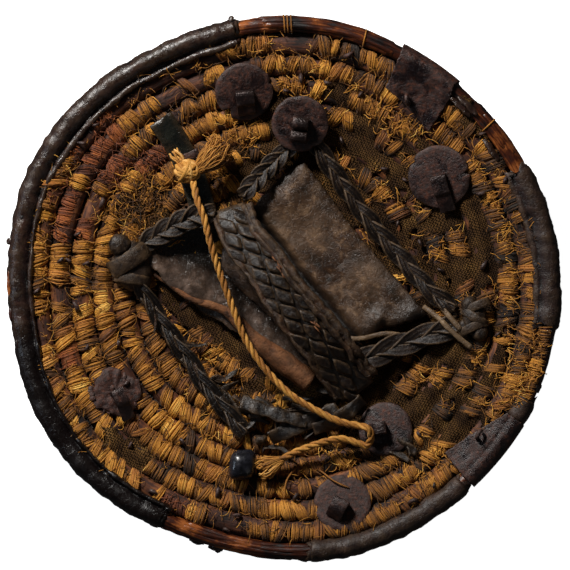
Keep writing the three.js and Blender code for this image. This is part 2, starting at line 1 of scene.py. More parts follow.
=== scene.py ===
import json
import math
import random

import bmesh
import bpy
from mathutils import Matrix, Quaternion, Vector, noise

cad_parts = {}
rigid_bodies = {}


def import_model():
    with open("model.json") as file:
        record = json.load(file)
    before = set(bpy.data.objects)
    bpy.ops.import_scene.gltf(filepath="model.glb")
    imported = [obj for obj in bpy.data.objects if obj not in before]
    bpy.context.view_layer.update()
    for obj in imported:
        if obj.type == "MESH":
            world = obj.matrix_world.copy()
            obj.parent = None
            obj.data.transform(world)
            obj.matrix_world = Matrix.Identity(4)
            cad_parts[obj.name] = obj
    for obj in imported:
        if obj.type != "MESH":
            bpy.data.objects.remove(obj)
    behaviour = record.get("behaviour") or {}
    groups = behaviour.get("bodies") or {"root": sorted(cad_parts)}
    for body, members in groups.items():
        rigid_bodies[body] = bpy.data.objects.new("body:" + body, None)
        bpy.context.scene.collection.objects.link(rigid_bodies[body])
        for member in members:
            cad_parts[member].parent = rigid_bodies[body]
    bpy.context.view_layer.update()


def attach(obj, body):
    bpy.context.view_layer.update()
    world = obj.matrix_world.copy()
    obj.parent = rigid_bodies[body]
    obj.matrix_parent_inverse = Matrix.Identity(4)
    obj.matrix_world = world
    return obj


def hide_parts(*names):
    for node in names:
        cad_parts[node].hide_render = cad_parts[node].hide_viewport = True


for startup_object in list(bpy.data.objects):
    bpy.data.objects.remove(startup_object)
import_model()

# All shapes are worked out in millimetres and scaled to metres when a piece is finished.
TO_METRES = 0.001
RIM_RADIUS = 180.0
DISH_DEPTH = 28.0
FLAT_SPOT_RADIUS = 38.0
FRONT_LEATHER = 2.2
CANE_THICKNESS = 9.0
LAYER_GAP = 0.35
STACK = FRONT_LEATHER + LAYER_GAP + CANE_THICKNESS
ROD_PATH_RADIUS = 172.1
ROD_HEIGHT = 33.0
BODY_EDGE = 166.55
COILS = 12
COIL_WIDTH = BODY_EDGE / COILS
OUTLINE_WAVES = ((2, 0.0106, -20.3), (5, 0.007, 2.8), (6, 0.0045, -25.5))
UP = Vector((0, 0, 1))
TURN = 2 * math.pi
random.seed(41)


# Places

def stray(angle):
    """How far the outline strays from a circle at an angle, as a share of the rim radius."""
    return sum(share * math.cos(lobes * (angle - math.radians(turn))) for lobes, share, turn in OUTLINE_WAVES)


def front_height(radius):
    flat_square = FLAT_SPOT_RADIUS ** 2
    return DISH_DEPTH * max(0.0, (radius ** 2 - flat_square) / (RIM_RADIUS ** 2 - flat_square))


def coil_top(x, y):
    return front_height(math.hypot(x, y)) + STACK


def on_body(radius, angle):
    """The plan place of a body radius, pushed out to the hand-made outline."""
    grown = radius + RIM_RADIUS * stray(angle) * (radius / BODY_EDGE) ** 2
    return grown * math.cos(angle), grown * math.sin(angle)


def body_radius(x, y):
    """The undistorted body radius of a plan place."""
    radius = math.hypot(x, y)
    return radius - RIM_RADIUS * stray(math.atan2(y, x)) * (radius / BODY_EDGE) ** 2


def from_photo(px, py):
    """The plan place in millimetres of a photograph pixel."""
    return (px - 282.5) * 0.651, (288 - py) * 0.651


def on_rod(degrees, outward=0.0, up=0.0):
    angle = math.radians(degrees)
    radius = ROD_PATH_RADIUS + RIM_RADIUS * stray(angle) + outward
    return Vector((radius * math.cos(angle), radius * math.sin(angle), ROD_HEIGHT + up))


def over(points):
    """Points given as x, y and lift above the coils, as places."""
    return [Vector((x, y, coil_top(x, y) + lift)) for x, y, lift in points]


def curve_through(points, spacing):
    """Even points on a smooth line through some places."""
    knots = [Vector(p) for p in points]
    knots = [knots[0] * 2 - knots[1], *knots, knots[-1] * 2 - knots[-2]]
    dense = []
    for a, b, c, d in zip(knots, knots[1:], knots[2:], knots[3:]):
        for i in range(24):
            t = i / 24
            dense.append(0.5 * (2 * b + (c - a) * t + (2 * a - 5 * b + 4 * c - d) * t * t
                                + (3 * b - a - 3 * c + d) * t ** 3))
    dense.append(knots[-2])
    steps = [0.0]
    for a, b in zip(dense, dense[1:]):
        steps.append(steps[-1] + (b - a).length)
    count = max(2, round(steps[-1] / spacing) + 1)
    even, j = [], 0
    for i in range(count):
        target = steps[-1] * i / (count - 1)
        while j < len(steps) - 2 and steps[j + 1] < target:
            j += 1
        span = steps[j + 1] - steps[j] or 1.0
        even.append(dense[j].lerp(dense[j + 1], min(1.0, (target - steps[j]) / span)))
    return even


def inside(outline, x, y):
    """Whether a plan place lies inside an outline."""
    within = False
    for (ax, ay), (bx, by) in zip(outline, outline[1:] + outline[:1]):
        if (ay > y) != (by > y) and x < (bx - ax) * (y - ay) / (by - ay) + ax:
            within = not within
    return within


def rough(place, size, seed=0.0):
    """A smooth random value from -1 to 1 at a place, for bumps of one size."""
    return noise.noise(Vector(place) / size + Vector((seed, seed * 0.7, -seed)))


def seat(x, y, lift=0.0, turn=0.0):
    """The frame of a spot on the hand side, square to the dish."""
    slope = 2 * DISH_DEPTH / (RIM_RADIUS ** 2 - FLAT_SPOT_RADIUS ** 2)
    normal = Vector((-slope * x, -slope * y, 1)).normalized()
    tilt = UP.rotation_difference(normal) @ Quaternion(UP, math.radians(turn))
    centre = Vector((x, y, coil_top(x, y))) + normal * lift
    return Matrix.Translation(centre) @ tilt.to_matrix().to_4x4()


# Camera, light and floor

CAMERA_HEIGHT = 2.6
VIEW_WIDTH = 0.371
VIEW_LEVEL = 0.03
camera_data = bpy.data.cameras.new("camera")
camera_data.sensor_width = 36
camera_data.lens = 36 * (CAMERA_HEIGHT - VIEW_LEVEL) / VIEW_WIDTH
camera = bpy.data.objects.new("camera", camera_data)
camera.location = (0.0016, 0.00195, CAMERA_HEIGHT)
bpy.context.scene.collection.objects.link(camera)
bpy.context.scene.camera = camera
bpy.context.scene.view_settings.view_transform = "Standard"


def add_light(name, place, aim, size, power, colour):
    data = bpy.data.lights.new(name, "AREA")
    data.size = size
    data.energy = power
    data.color = colour
    light = bpy.data.objects.new(name, data)
    light.location = place
    light.rotation_euler = (Vector(aim) - Vector(place)).to_track_quat("-Z", "Y").to_euler()
    bpy.context.scene.collection.objects.link(light)


add_light("window", (-0.56, 0.92, 0.78), (0, 0, 0.02), 0.24, 22.5, (1.0, 0.97, 0.93))
add_light("left_fill", (-1.3, 0.1, 0.7), (0, 0, 0.02), 0.3, 2.4, (0.72, 0.84, 1.0))
add_light("low_fill", (0.9, -1.0, 0.9), (0, 0, 0.02), 0.7, 0.6, (1.0, 0.98, 0.95))


# Materials

def add_node(tree, kind, values=None, **settings):
    """Adds a shader node; values are sockets to link or numbers to set."""
    made = tree.nodes.new(kind)
    for key, value in settings.items():
        setattr(made, key, value)
    for key, value in (values or {}).items():
        if isinstance(value, bpy.types.NodeSocket):
            tree.links.new(value, made.inputs[key])
        else:
            made.inputs[key].default_value = value
    return made


def rgb(code):
    """Linear colour of a hex code."""
    parts = [int(code[i:i + 2], 16) / 255 for i in (1, 3, 5)]
    return tuple(c / 12.92 if c <= 0.04045 else ((c + 0.055) / 1.055) ** 2.4 for c in parts) + (1.0,)


def ramp(tree, factor, stops):
    made = add_node(tree, "ShaderNodeValToRGB", {"Fac": factor})
    elements = made.color_ramp.elements
    elements[0].position, elements[0].color = stops[0][0], rgb(stops[0][1])
    elements[1].position, elements[1].color = stops[-1][0], rgb(stops[-1][1])
    for position, code in stops[1:-1]:
        elements.new(position).color = rgb(code)
    return made.outputs["Color"]


def math_node(tree, operation, a, b=0.0, clamp=False):
    made = add_node(tree, "ShaderNodeMath", {0: a, 1: b}, operation=operation, use_clamp=clamp)
    return made.outputs[0]


def remap(tree, value, low, high, to_low=0.0, to_high=1.0):
    made = add_node(tree, "ShaderNodeMapRange",
                    {"Value": value, "From Min": low, "From Max": high, "To Min": to_low, "To Max": to_high})
    return made.outputs["Result"]


def blend(tree, factor, a, b, kind="MIX"):
    made = add_node(tree, "ShaderNodeMix", data_type="RGBA", blend_type=kind)
    for index, value in ((0, factor), (6, a), (7, b)):
        if isinstance(value, bpy.types.NodeSocket):
            tree.links.new(value, made.inputs[index])
        else:
            made.inputs[index].default_value = value
    return made.outputs[2]


def noise_node(tree, vector, scale, detail=3.0, roughness=0.55, distortion=0.0):
    made = add_node(tree, "ShaderNodeTexNoise", {"Vector": vector, "Scale": scale, "Detail": detail,
                                                 "Roughness": roughness, "Distortion": distortion})
    return made.outputs["Fac"]


def new_group(name, inputs, outputs):
    tree = bpy.data.node_groups.new(name, "ShaderNodeTree")
    for label, kind, default in inputs:
        socket = tree.interface.new_socket(label, in_out="INPUT", socket_type=kind)
        if default is not None:
            socket.default_value = default
    for label, kind in outputs:
        tree.interface.new_socket(label, in_out="OUTPUT", socket_type=kind)
    return tree, tree.nodes.new("NodeGroupInput").outputs, tree.nodes.new("NodeGroupOutput").inputs


FLOAT, COLOUR, VECTOR = "NodeSocketFloat", "NodeSocketColor", "NodeSocketVector"


def leather_grain_group():
    """Fine grain, soft creases and rubbed patches."""
    tree, given, out = new_group("leather_grain", [("Vector", VECTOR, None), ("Grain Size", FLOAT, 900.0)],
                                 [("Height", FLOAT), ("Creases", FLOAT), ("Patches", FLOAT)])
    cells = add_node(tree, "ShaderNodeTexVoronoi", {"Vector": given["Vector"], "Scale": given["Grain Size"]})
    creases = noise_node(tree, given["Vector"], 170.0, 4.0, 0.55, 0.25)
    lumps = noise_node(tree, given["Vector"], 330.0, 5.0, 0.7)
    patches = noise_node(tree, given["Vector"], 38.0, 4.0, 0.6)
    ridge = math_node(tree, "ABSOLUTE", math_node(tree, "SUBTRACT", creases, 0.5))
    crease = remap(tree, ridge, 0.0, 0.035)
    fine = math_node(tree, "MULTIPLY", cells.outputs["Distance"], 0.3)
    soft = math_node(tree, "MULTIPLY", crease, 0.4)
    height = math_node(tree, "ADD", math_node(tree, "ADD", fine, soft), math_node(tree, "MULTIPLY", lumps, 1.6))
    tree.links.new(height, out["Height"])
    tree.links.new(crease, out["Creases"])
    tree.links.new(remap(tree, patches, 0.35, 0.7), out["Patches"])
    return tree


def edge_wear_and_shade_group():
    """Masks for rubbed edges and for hollows; darkening the hollows paints shade into creases, with dirt."""
    tree, given, out = new_group("edge_wear_and_shade", [("Vector", VECTOR, None), ("Spread", FLOAT, 0.06)],
                                 [("Edges", FLOAT), ("Hollows", FLOAT)])
    sharp = add_node(tree, "ShaderNodeNewGeometry").outputs["Pointiness"]
    broken = noise_node(tree, given["Vector"], 260.0, 4.0, 0.7)
    high = math_node(tree, "ADD", 0.505, given["Spread"])
    edges = add_node(tree, "ShaderNodeMapRange", {"Value": sharp, "From Min": 0.505, "From Max": high})
    edge = math_node(tree, "MULTIPLY", edges.outputs[0], remap(tree, broken, 0.32, 0.6), clamp=True)
    low = math_node(tree, "SUBTRACT", 0.495, given["Spread"])
    hollows = add_node(tree, "ShaderNodeMapRange", {"Value": sharp, "From Min": 0.495, "From Max": low})
    tree.links.new(edge, out["Edges"])
    tree.links.new(hollows.outputs[0], out["Hollows"])
    return tree


def round_coordinates_group():
    """Radius, run round the disc and height, for streaks that follow the coils."""
    tree, given, out = new_group("round_coordinates", [("Vector", VECTOR, None), ("Run Scale", FLOAT, 0.012)],
                                 [("Vector", VECTOR)])
    parts = add_node(tree, "ShaderNodeSeparateXYZ", {"Vector": given["Vector"]})
    angle = math_node(tree, "ARCTAN2", parts.outputs["Y"], parts.outputs["X"])
    flat = add_node(tree, "ShaderNodeVectorMath", {0: given["Vector"], 1: (1, 1, 0)}, operation="MULTIPLY")
    radius = add_node(tree, "ShaderNodeVectorMath", {0: flat.outputs[0]}, operation="LENGTH")
    run = math_node(tree, "MULTIPLY", angle, given["Run Scale"])
    made = add_node(tree, "ShaderNodeCombineXYZ",
                    {"X": radius.outputs["Value"], "Y": run, "Z": parts.outputs["Z"]})
    tree.links.new(made.outputs[0], out["Vector"])
    return tree


def plain_weave_group():
    """Over-and-under threads of a coarse plain weave."""
    tree, given, out = new_group("plain_weave", [("Vector", VECTOR, None), ("Threads", FLOAT, 1900.0)],
                                 [("Height", FLOAT), ("Open", FLOAT)])
    wobble = add_node(tree, "ShaderNodeTexNoise", {"Vector": given["Vector"], "Scale": 70.0, "Detail": 2.0})
    away = add_node(tree, "ShaderNodeVectorMath", {0: wobble.outputs["Color"], 3: 0.006}, operation="SCALE")
    moved = add_node(tree, "ShaderNodeVectorMath", {0: given["Vector"], 1: away.outputs[0]}, operation="ADD")
    parts = add_node(tree, "ShaderNodeSeparateXYZ", {"Vector": moved.outputs[0]})
    waves = [math_node(tree, "SINE", math_node(tree, "MULTIPLY", parts.outputs[axis], given["Threads"]))
             for axis in ("X", "Y")]
    warp, weft = [math_node(tree, "POWER", math_node(tree, "ABSOLUTE", wave), 0.6) for wave in waves]
    over = remap(tree, math_node(tree, "MULTIPLY", waves[0], waves[1]), -0.2, 0.2)
    warp_part = math_node(tree, "MULTIPLY", warp, over)
    weft_part = math_node(tree, "MULTIPLY", weft, math_node(tree, "SUBTRACT", 1.0, over))
    height = math_node(tree, "ADD", warp_part, weft_part)
    tree.links.new(height, out["Height"])
    tree.links.new(remap(tree, height, 0.75, 0.3), out["Open"])
    return tree


def rust_group():
    """Rust blooms and pitting."""
    tree, given, out = new_group("rust", [("Vector", VECTOR, None), ("Amount", FLOAT, 0.5)],
                                 [("Mask", FLOAT), ("Height", FLOAT)])
    blooms = noise_node(tree, given["Vector"], 95.0, 6.0, 0.7, 0.6)
    pits = noise_node(tree, given["Vector"], 700.0, 4.0, 0.65)
    edge = math_node(tree, "SUBTRACT", 0.85, given["Amount"])
    start = math_node(tree, "SUBTRACT", edge, 0.16)
    mask = add_node(tree, "ShaderNodeMapRange", {"Value": blooms, "From Min": start, "From Max": edge})
    lumps = math_node(tree, "MULTIPLY", blooms, 1.6)
    tree.links.new(mask.outputs[0], out["Mask"])
    tree.links.new(math_node(tree, "ADD", lumps, pits), out["Height"])
    return tree


GROUPS = {
    "leather_grain": leather_grain_group(),
    "edge_wear_and_shade": edge_wear_and_shade_group(),
    "round_coordinates": round_coordinates_group(),
    "plain_weave": plain_weave_group(),
    "rust": rust_group(),
}


def use_group(tree, name, values):
    made = add_node(tree, "ShaderNodeGroup", node_tree=GROUPS[name])
    for key, value in values.items():
        if isinstance(value, bpy.types.NodeSocket):
            tree.links.new(value, made.inputs[key])
        else:
            made.inputs[key].default_value = value
    return made.outputs


def new_material(name):
    """A material with its tree, its Principled shader and Object coordinates."""
    material = bpy.data.materials.new(name)
    material.use_nodes = True
    tree = material.node_tree
    shader = tree.nodes["Principled BSDF"]
    coordinates = tree.nodes.new("ShaderNodeTexCoord").outputs["Object"]
    return material, tree, shader, coordinates


def set_bump(tree, shader, height, distance, strength=1.0):
    bump = add_node(tree, "ShaderNodeBump", {"Height": height, "Distance": distance, "Strength": strength})
    tree.links.new(bump.outputs["Normal"], shader.inputs["Normal"])


def leather(name, dark, middle, light, shine=0.5, grain=900.0, bump=0.0004, wear=0.5, gloss=0.4):
    """Old leather: mottled, rubbed at its edges, darkened in its hollows with painted shade and dirt, and darkened by a
    per-point attribute that carries painted shade and soiling.
    """
    material, tree, shader, place = new_material(name)
    grain_out = use_group(tree, "leather_grain", {"Vector": place, "Grain Size": grain})
    edges = use_group(tree, "edge_wear_and_shade", {"Vector": place, "Spread": 0.05})
    soil_and_shade = add_node(tree, "ShaderNodeAttribute", attribute_name="soil_and_shade").outputs["Fac"]
    base = ramp(tree, noise_node(tree, place, 90.0, 7.0, 0.7, 0.3),
                [(0.34, dark), (0.52, middle), (0.7, light)])
    dust = math_node(tree, "MULTIPLY", grain_out["Patches"], 0.3)
    base = blend(tree, dust, base, rgb(light))
    base = blend(tree, math_node(tree, "MULTIPLY", edges["Edges"], wear), base, rgb("#6e563c"))
    # Painted shade with dirt: the hollows are blended towards near black.
    base = blend(tree, math_node(tree, "MULTIPLY", edges["Hollows"], 0.85), base, rgb("#060403"))
    # Painted shade and soiling: the per-point attribute blends the colour towards its darkest tone.
    base = blend(tree, soil_and_shade, base, rgb(dark))
    speckle = noise_node(tree, place, 520.0, 4.0, 0.7)
    dull = math_node(tree, "ADD", remap(tree, grain_out["Patches"], 0.0, 1.0, shine, shine + 0.16),
                     remap(tree, speckle, 0.35, 0.65, -0.08, 0.1))
    tree.links.new(base, shader.inputs["Base Color"])
    tree.links.new(dull, shader.inputs["Roughness"])
    shader.inputs["Specular IOR Level"].default_value = gloss
    set_bump(tree, shader, grain_out["Height"], bump)
    return material


def rusty_iron(name, amount, dark="#0d0706", middle="#261513", metal=0.25):
    material, tree, shader, place = new_material(name)
    rust = use_group(tree, "rust", {"Vector": place, "Amount": amount})
    edges = use_group(tree, "edge_wear_and_shade", {"Vector": place, "Spread": 0.07})
    skin = ramp(tree, noise_node(tree, place, 170.0, 6.0, 0.72), [(0.32, dark), (0.7, middle)])
    scale = ramp(tree, noise_node(tree, place, 420.0, 3.0), [(0.3, "#1a0b07"), (0.55, "#3a1c11"), (0.8, "#653319")])
    base = blend(tree, rust["Mask"], skin, scale)
    base = blend(tree, math_node(tree, "MULTIPLY", edges["Edges"], 0.5), base, rgb("#5c4a44"))
    base = blend(tree, math_node(tree, "MULTIPLY", edges["Hollows"], 0.8), base, rgb("#060404"))
    tree.links.new(base, shader.inputs["Base Color"])
    tree.links.new(remap(tree, rust["Mask"], 0.0, 1.0, 0.3, 0.62), shader.inputs["Roughness"])
    tree.links.new(remap(tree, rust["Mask"], 0.0, 1.0, metal, 0.02), shader.inputs["Metallic"])
    set_bump(tree, shader, rust["Height"], 0.0005)
    return material


def cane(name, dark, middle, light, shine):
    material, tree, shader, place = new_material(name)
    run = use_group(tree, "round_coordinates", {"Vector": place, "Run Scale": 0.012})["Vector"]
    streaks = noise_node(tree, run, 700.0, 4.0, 0.6)
    zones = noise_node(tree, place, 48.0, 5.0, 0.65)
    both = math_node(tree, "ADD", math_node(tree, "MULTIPLY", streaks, 0.35),
                     math_node(tree, "MULTIPLY", zones, 0.65))
    base = ramp(tree, both, [(0.42, dark), (0.52, middle), (0.63, light)])
    edges = use_group(tree, "edge_wear_and_shade", {"Vector": place, "Spread": 0.08})
    # Painted shade with dirt: the hollows are blended towards near black.
    base = blend(tree, math_node(tree, "MULTIPLY", edges["Hollows"], 0.85), base, rgb("#0d0704"))
    tree.links.new(base, shader.inputs["Base Color"])
    tree.links.new(remap(tree, zones, 0.35, 0.7, shine + 0.25, shine), shader.inputs["Roughness"])
    set_bump(tree, shader, streaks, 0.0005)
    return material


def yarn(name, stops, red_stops, sheen=0.05):
    """Coarse yarn whose colour runs by each strand's own tint and redness."""
    material, tree, shader, place = new_material(name)
    tint = add_node(tree, "ShaderNodeAttribute", attribute_name="tint").outputs["Fac"]
    red = add_node(tree, "ShaderNodeAttribute", attribute_name="redness").outputs["Fac"]
    dirt = noise_node(tree, place, 48.0, 5.0, 0.62)
    fuzz = noise_node(tree, place, 1500.0, 2.0)
    shade = math_node(tree, "ADD", tint, remap(tree, dirt, 0.3, 0.7, -0.22, 0.14))
    shade = math_node(tree, "ADD", shade, remap(tree, fuzz, 0.3, 0.7, -0.1, 0.1))
    base = blend(tree, red, ramp(tree, shade, stops), ramp(tree, shade, red_stops))
    tree.links.new(base, shader.inputs["Base Color"])
    shader.inputs["Roughness"].default_value = 0.72
    shader.inputs["Sheen Weight"].default_value = sheen
    shader.inputs["Sheen Roughness"].default_value = 0.4
    set_bump(tree, shader, fuzz, 0.0003)
    return material


def woven_cloth(name):
    material, tree, shader, place = new_material(name)
    turned_place = add_node(tree, "ShaderNodeMapping", {"Vector": place, "Rotation": (0, 0, math.radians(24))})
    weave = use_group(tree, "plain_weave", {"Vector": turned_place.outputs[0], "Threads": 2150.0})
    soil_and_shade = noise_node(tree, place, 42.0, 7.0, 0.68)
    base = ramp(tree, soil_and_shade, [(0.3, "#180f08"), (0.44, "#3b2715"), (0.58, "#5f4323"), (0.72, "#8f6b3a")])
    base = blend(tree, math_node(tree, "MULTIPLY", weave["Open"], 0.96), base, rgb("#070402"))
    tree.links.new(base, shader.inputs["Base Color"])
    shader.inputs["Roughness"].default_value = 0.95
    shader.inputs["Specular IOR Level"].default_value = 0.15
    set_bump(tree, shader, weave["Height"], 0.0016)
    return material


def polished_knob(name):
    material, tree, shader, place = new_material(name)
    wipe = noise_node(tree, place, 220.0, 4.0, 0.6)
    base = ramp(tree, wipe, [(0.35, "#0d0d10"), (0.7, "#24242b")])
    tree.links.new(base, shader.inputs["Base Color"])
    tree.links.new(remap(tree, wipe, 0.3, 0.7, 0.16, 0.36), shader.inputs["Roughness"])
    set_bump(tree, shader, wipe, 0.0003)
    return material


YARN_STOPS = [(0.0, "#1a0d02"), (0.26, "#573309"), (0.5, "#9d641a"), (0.76, "#cf9030"), (1.0, "#eabd5e")]
RED_STOPS = [(0.0, "#1f0e06"), (0.35, "#552912"), (0.65, "#8a481e"), (1.0, "#b96c2c")]
RIM_LEATHER = leather("rim_leather", "#0a0505", "#1b0f0e", "#38231e", 0.24, 700.0, 0.00022, 0.2, 0.5)
STRAP_LEATHER = leather("strap_leather", "#080403", "#150c08", "#2b1c12", 0.42, 1000.0, 0.0003, 0.55, 0.36)
FRONT_SKIN = leather("front_skin", "#100b08", "#1f1611", "#30241b", 0.48, 620.0, 0.0006, 0.4)
PAD_SKIN = leather("pad_skin", "#090503", "#3d2819", "#866a50", 0.33, 1400.0, 0.0004, 0.25, 0.42)
FLAP_SKIN = leather("flap_skin", "#0a0604", "#35281f", "#7a665a", 0.2, 1100.0, 0.0002, 0.3, 0.65)
ROLLED_SKIN = leather("rolled_skin", "#30170b", "#6a4026", "#94643f", 0.62, 900.0, 0.0005, 0.3, 0.25)
BROWN_STRAP = leather("brown_strap", "#0e0704", "#20120b", "#4a2d1b", 0.45, 900.0, 0.0005, 0.5)
DARK_STRAP = leather("dark_strap", "#050302", "#0e0806", "#21160f", 0.38, 1000.0, 0.0003, 0.4, 0.4)
WORN_RIM = leather("worn_rim", "#0d0606", "#211513", "#3f2c26", 0.42, 700.0, 0.0003, 0.25, 0.35)
ORANGE_HIDE = leather("orange_hide", "#28130a", "#5a3219", "#86522a", 0.55, 900.0, 0.0004, 0.3, 0.3)
PALE_STRAP = leather("pale_strap", "#2c1d12", "#5c4730", "#93795a", 0.45, 900.0, 0.0004, 0.4)
GRIP_LEATHER = leather("grip_leather", "#060302", "#110a07", "#241710", 0.36, 1000.0, 0.0003, 0.5, 0.38)
WAXED_STRAP = leather("waxed_strap", "#040504", "#0f110f", "#262720", 0.2, 700.0, 0.0002, 0.25, 0.6)
IRON = rusty_iron("iron", 0.28, "#0b0607", "#201314")
RUBBED_IRON = rusty_iron("rubbed_iron", 0.2, "#120c0d", "#2b201f", 0.5)
RUSTED_IRON = rusty_iron("rusted_iron", 0.66, "#170906", "#341710", 0.15)
COIL_CANE = cane("coil_cane", "#140703", "#47220f", "#885025", 0.6)
ROD_CANE = cane("rod_cane", "#0e0504", "#431d0e", "#9a582b", 0.2)
WRAP_YARN = yarn("wrap_yarn", YARN_STOPS, RED_STOPS)
CORD_YARN = yarn("cord_yarn", [(0.0, "#452607"), (0.35, "#99611c"), (0.65, "#c68c38"), (1.0, "#e6b770")], RED_STOPS)
LINING = woven_cloth("lining")
KNOB_BLACK = polished_knob("knob_black")


def pale_floor():
    """A floor that looks white to the camera and throws little light on the rim."""
    material, tree, shader, place = new_material("pale_floor")
    tone = ramp(tree, noise_node(tree, place, 3.0), [(0.4, "#f2f2f2"), (0.6, "#f6f6f6")])
    seen = add_node(tree, "ShaderNodeLightPath").outputs["Is Camera Ray"]
    dim = blend(tree, seen, rgb("#1c1c1e"), tone)
    tree.links.new(dim, shader.inputs["Base Color"])
    tree.links.new(tone, shader.inputs["Emission Color"])
    tree.links.new(remap(tree, seen, 0.0, 1.0, 0.03, 1.1), shader.inputs["Emission Strength"])
    shader.inputs["Roughness"].default_value = 0.9
    bm = bmesh.new()
    bmesh.ops.create_grid(bm, x_segments=2, y_segments=2, size=3.0)
    mesh = bpy.data.meshes.new("floor")
    bm.to_mesh(mesh)
    mesh.materials.append(material)
    floor = bpy.data.objects.new("floor", mesh)
    bpy.context.scene.collection.objects.link(floor)


pale_floor()
world = bpy.data.worlds.new("studio")
world.use_nodes = True
world.node_tree.nodes["Background"].inputs["Color"].default_value = (0.9, 0.93, 1.0, 1.0)
world.node_tree.nodes["Background"].inputs["Strength"].default_value = 0.025
bpy.context.scene.world = world


# Making pieces

def finish(name, mesh, material, nodes=()):
    """Scales a mesh to metres and hands it over as a piece."""
    mesh.transform(Matrix.Scale(TO_METRES, 4))
    mesh.materials.clear()
    for part in material if isinstance(material, (list, tuple)) else [material]:
        mesh.materials.append(part)
    mesh.shade_smooth()
    piece = bpy.data.objects.new(name, mesh)
    bpy.context.scene.collection.objects.link(piece)
    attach(piece, "root")
    if nodes:
        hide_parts(*nodes)
    return piece


def finish_bmesh(name, bm, material, nodes=(), join=0.01):
    bmesh.ops.remove_doubles(bm, verts=bm.verts, dist=join)
    bmesh.ops.recalc_face_normals(bm, faces=bm.faces)
    mesh = bpy.data.meshes.new(name)
    bm.to_mesh(mesh)
    bm.free()
    return finish(name, mesh, material, nodes)


def swept(lines, section=None, radius=1.0, sides=4):
    """Carries a round or given section along lines and returns the mesh.

    A line is a dict of points with optional widths, tilts and closed.
    """
    data = bpy.data.curves.new("path", "CURVE")
    data.dimensions = "3D"
    data.twist_mode = "Z_UP"
    data.use_fill_caps = True
    holder = None
    if section:
        outline = bpy.data.curves.new("section", "CURVE")
        outline.dimensions = "2D"
        ring = outline.splines.new("POLY")
        ring.points.add(len(section) - 1)
        for point, (x, y) in zip(ring.points, section):
            point.co = (x, y, 0, 1)
        ring.use_cyclic_u = True
        holder = bpy.data.objects.new("section", outline)
        bpy.context.scene.collection.objects.link(holder)
        data.bevel_mode = "OBJECT"
        data.bevel_object = holder
    else:
        data.bevel_depth = radius
        data.bevel_resolution = (sides - 4) // 2
    for line in lines:
        points = line["points"]
        spline = data.splines.new("POLY")
        spline.points.add(len(points) - 1)
        spline.points.foreach_set("co", [c for p in points for c in (p[0], p[1], p[2], 1.0)])
        if "widths" in line:
            spline.points.foreach_set("radius", line["widths"])
        if "tilts" in line:
            spline.points.foreach_set("tilt", line["tilts"])
        spline.use_cyclic_u = line.get("closed", False)
    path = bpy.data.objects.new("path", data)
    bpy.context.scene.collection.objects.link(path)
    depsgraph = bpy.context.evaluated_depsgraph_get()
    mesh = bpy.data.meshes.new_from_object(path.evaluated_get(depsgraph))
    bpy.data.objects.remove(path)
    if holder:
        bpy.data.objects.remove(holder)
    return mesh


def strands(lines, radius, sides=4):
    """Many fine round strands, each with its own tint and redness."""
    mesh = swept(lines, None, radius, sides)

    def shade_at(line, i):
        return line["tint"][i] if isinstance(line["tint"], list) else line["tint"]

    tints, reds = [], []
    # The end caps come first, from the last strand back to the first.
    for line in reversed(lines):
        if not line.get("closed"):
            tints += [shade_at(line, -1)] * sides + [shade_at(line, 0)] * sides
            reds += [line.get("red", 0.0)] * 2 * sides
    for line in lines:
        for i in range(len(line["points"])):
            tints += [shade_at(line, i)] * sides
        reds += [line.get("red", 0.0)] * sides * len(line["points"])
    mesh.attributes.new("tint", "FLOAT", "POINT").data.foreach_set("value", tints)
    mesh.attributes.new("redness", "FLOAT", "POINT").data.foreach_set("value", reds)
    bm = bmesh.new()
    bm.from_mesh(mesh)
    bmesh.ops.remove_doubles(bm, verts=bm.verts, dist=0.0002)
    bm.to_mesh(mesh)
    bm.free()
    return mesh


def pushed(bm, amount, size, seed=0.0, fine=0.0):
    """Moves the points of a bmesh along their normals by smooth noise."""
    bm.normal_update()
    moves = []
    for vert in bm.verts:
        push = amount * rough(vert.co, size, seed)
        if fine:
            push += fine * rough(vert.co, size * 0.3, seed + 9)
        moves.append(vert.normal * push)
    for vert, move in zip(bm.verts, moves):
        vert.co += move
    return bm


def as_bmesh(mesh):
    bm = bmesh.new()
    bm.from_mesh(mesh)
    bpy.data.meshes.remove(mesh)
    bmesh.ops.remove_doubles(bm, verts=bm.verts, dist=0.001)
    bmesh.ops.recalc_face_normals(bm, faces=bm.faces)
    return bm


def merged(parts):
    """One bmesh of several."""
    whole = bmesh.new()
    for part in parts:
        mesh = bpy.data.meshes.new("part")
        part.to_mesh(mesh)
        part.free()
        whole.from_mesh(mesh)
        bpy.data.meshes.remove(mesh)
    return whole


def flat_section(width, thickness, crown=0.0):
    """The rounded section of a leather strip, with a crowned face."""
    a, b = width / 2, thickness / 2
    return [(-a, -b * 0.5), (-a * 0.9, -b), (0, -b), (a * 0.9, -b), (a, -b * 0.5), (a, b * 0.5),
            (a * 0.88, b), (a * 0.45, b + crown * 0.8), (0, b + crown), (-a * 0.45, b + crown * 0.8),
            (-a * 0.88, b), (-a, b * 0.5)]


def thick_line(points, thickness):
    """The closed section of a bent sheet that follows some points."""
    half = thickness / 2
    left, right = [], []
    for i, (x, y) in enumerate(points):
        ax, ay = points[max(0, i - 1)]
        bx, by = points[min(len(points) - 1, i + 1)]
        length = math.hypot(bx - ax, by - ay)
        nx, ny = -(by - ay) / length * half, (bx - ax) / length * half
        left.append((x + nx, y + ny))
        right.append((x - nx, y - ny))
    return left + right[::-1]


# Cord

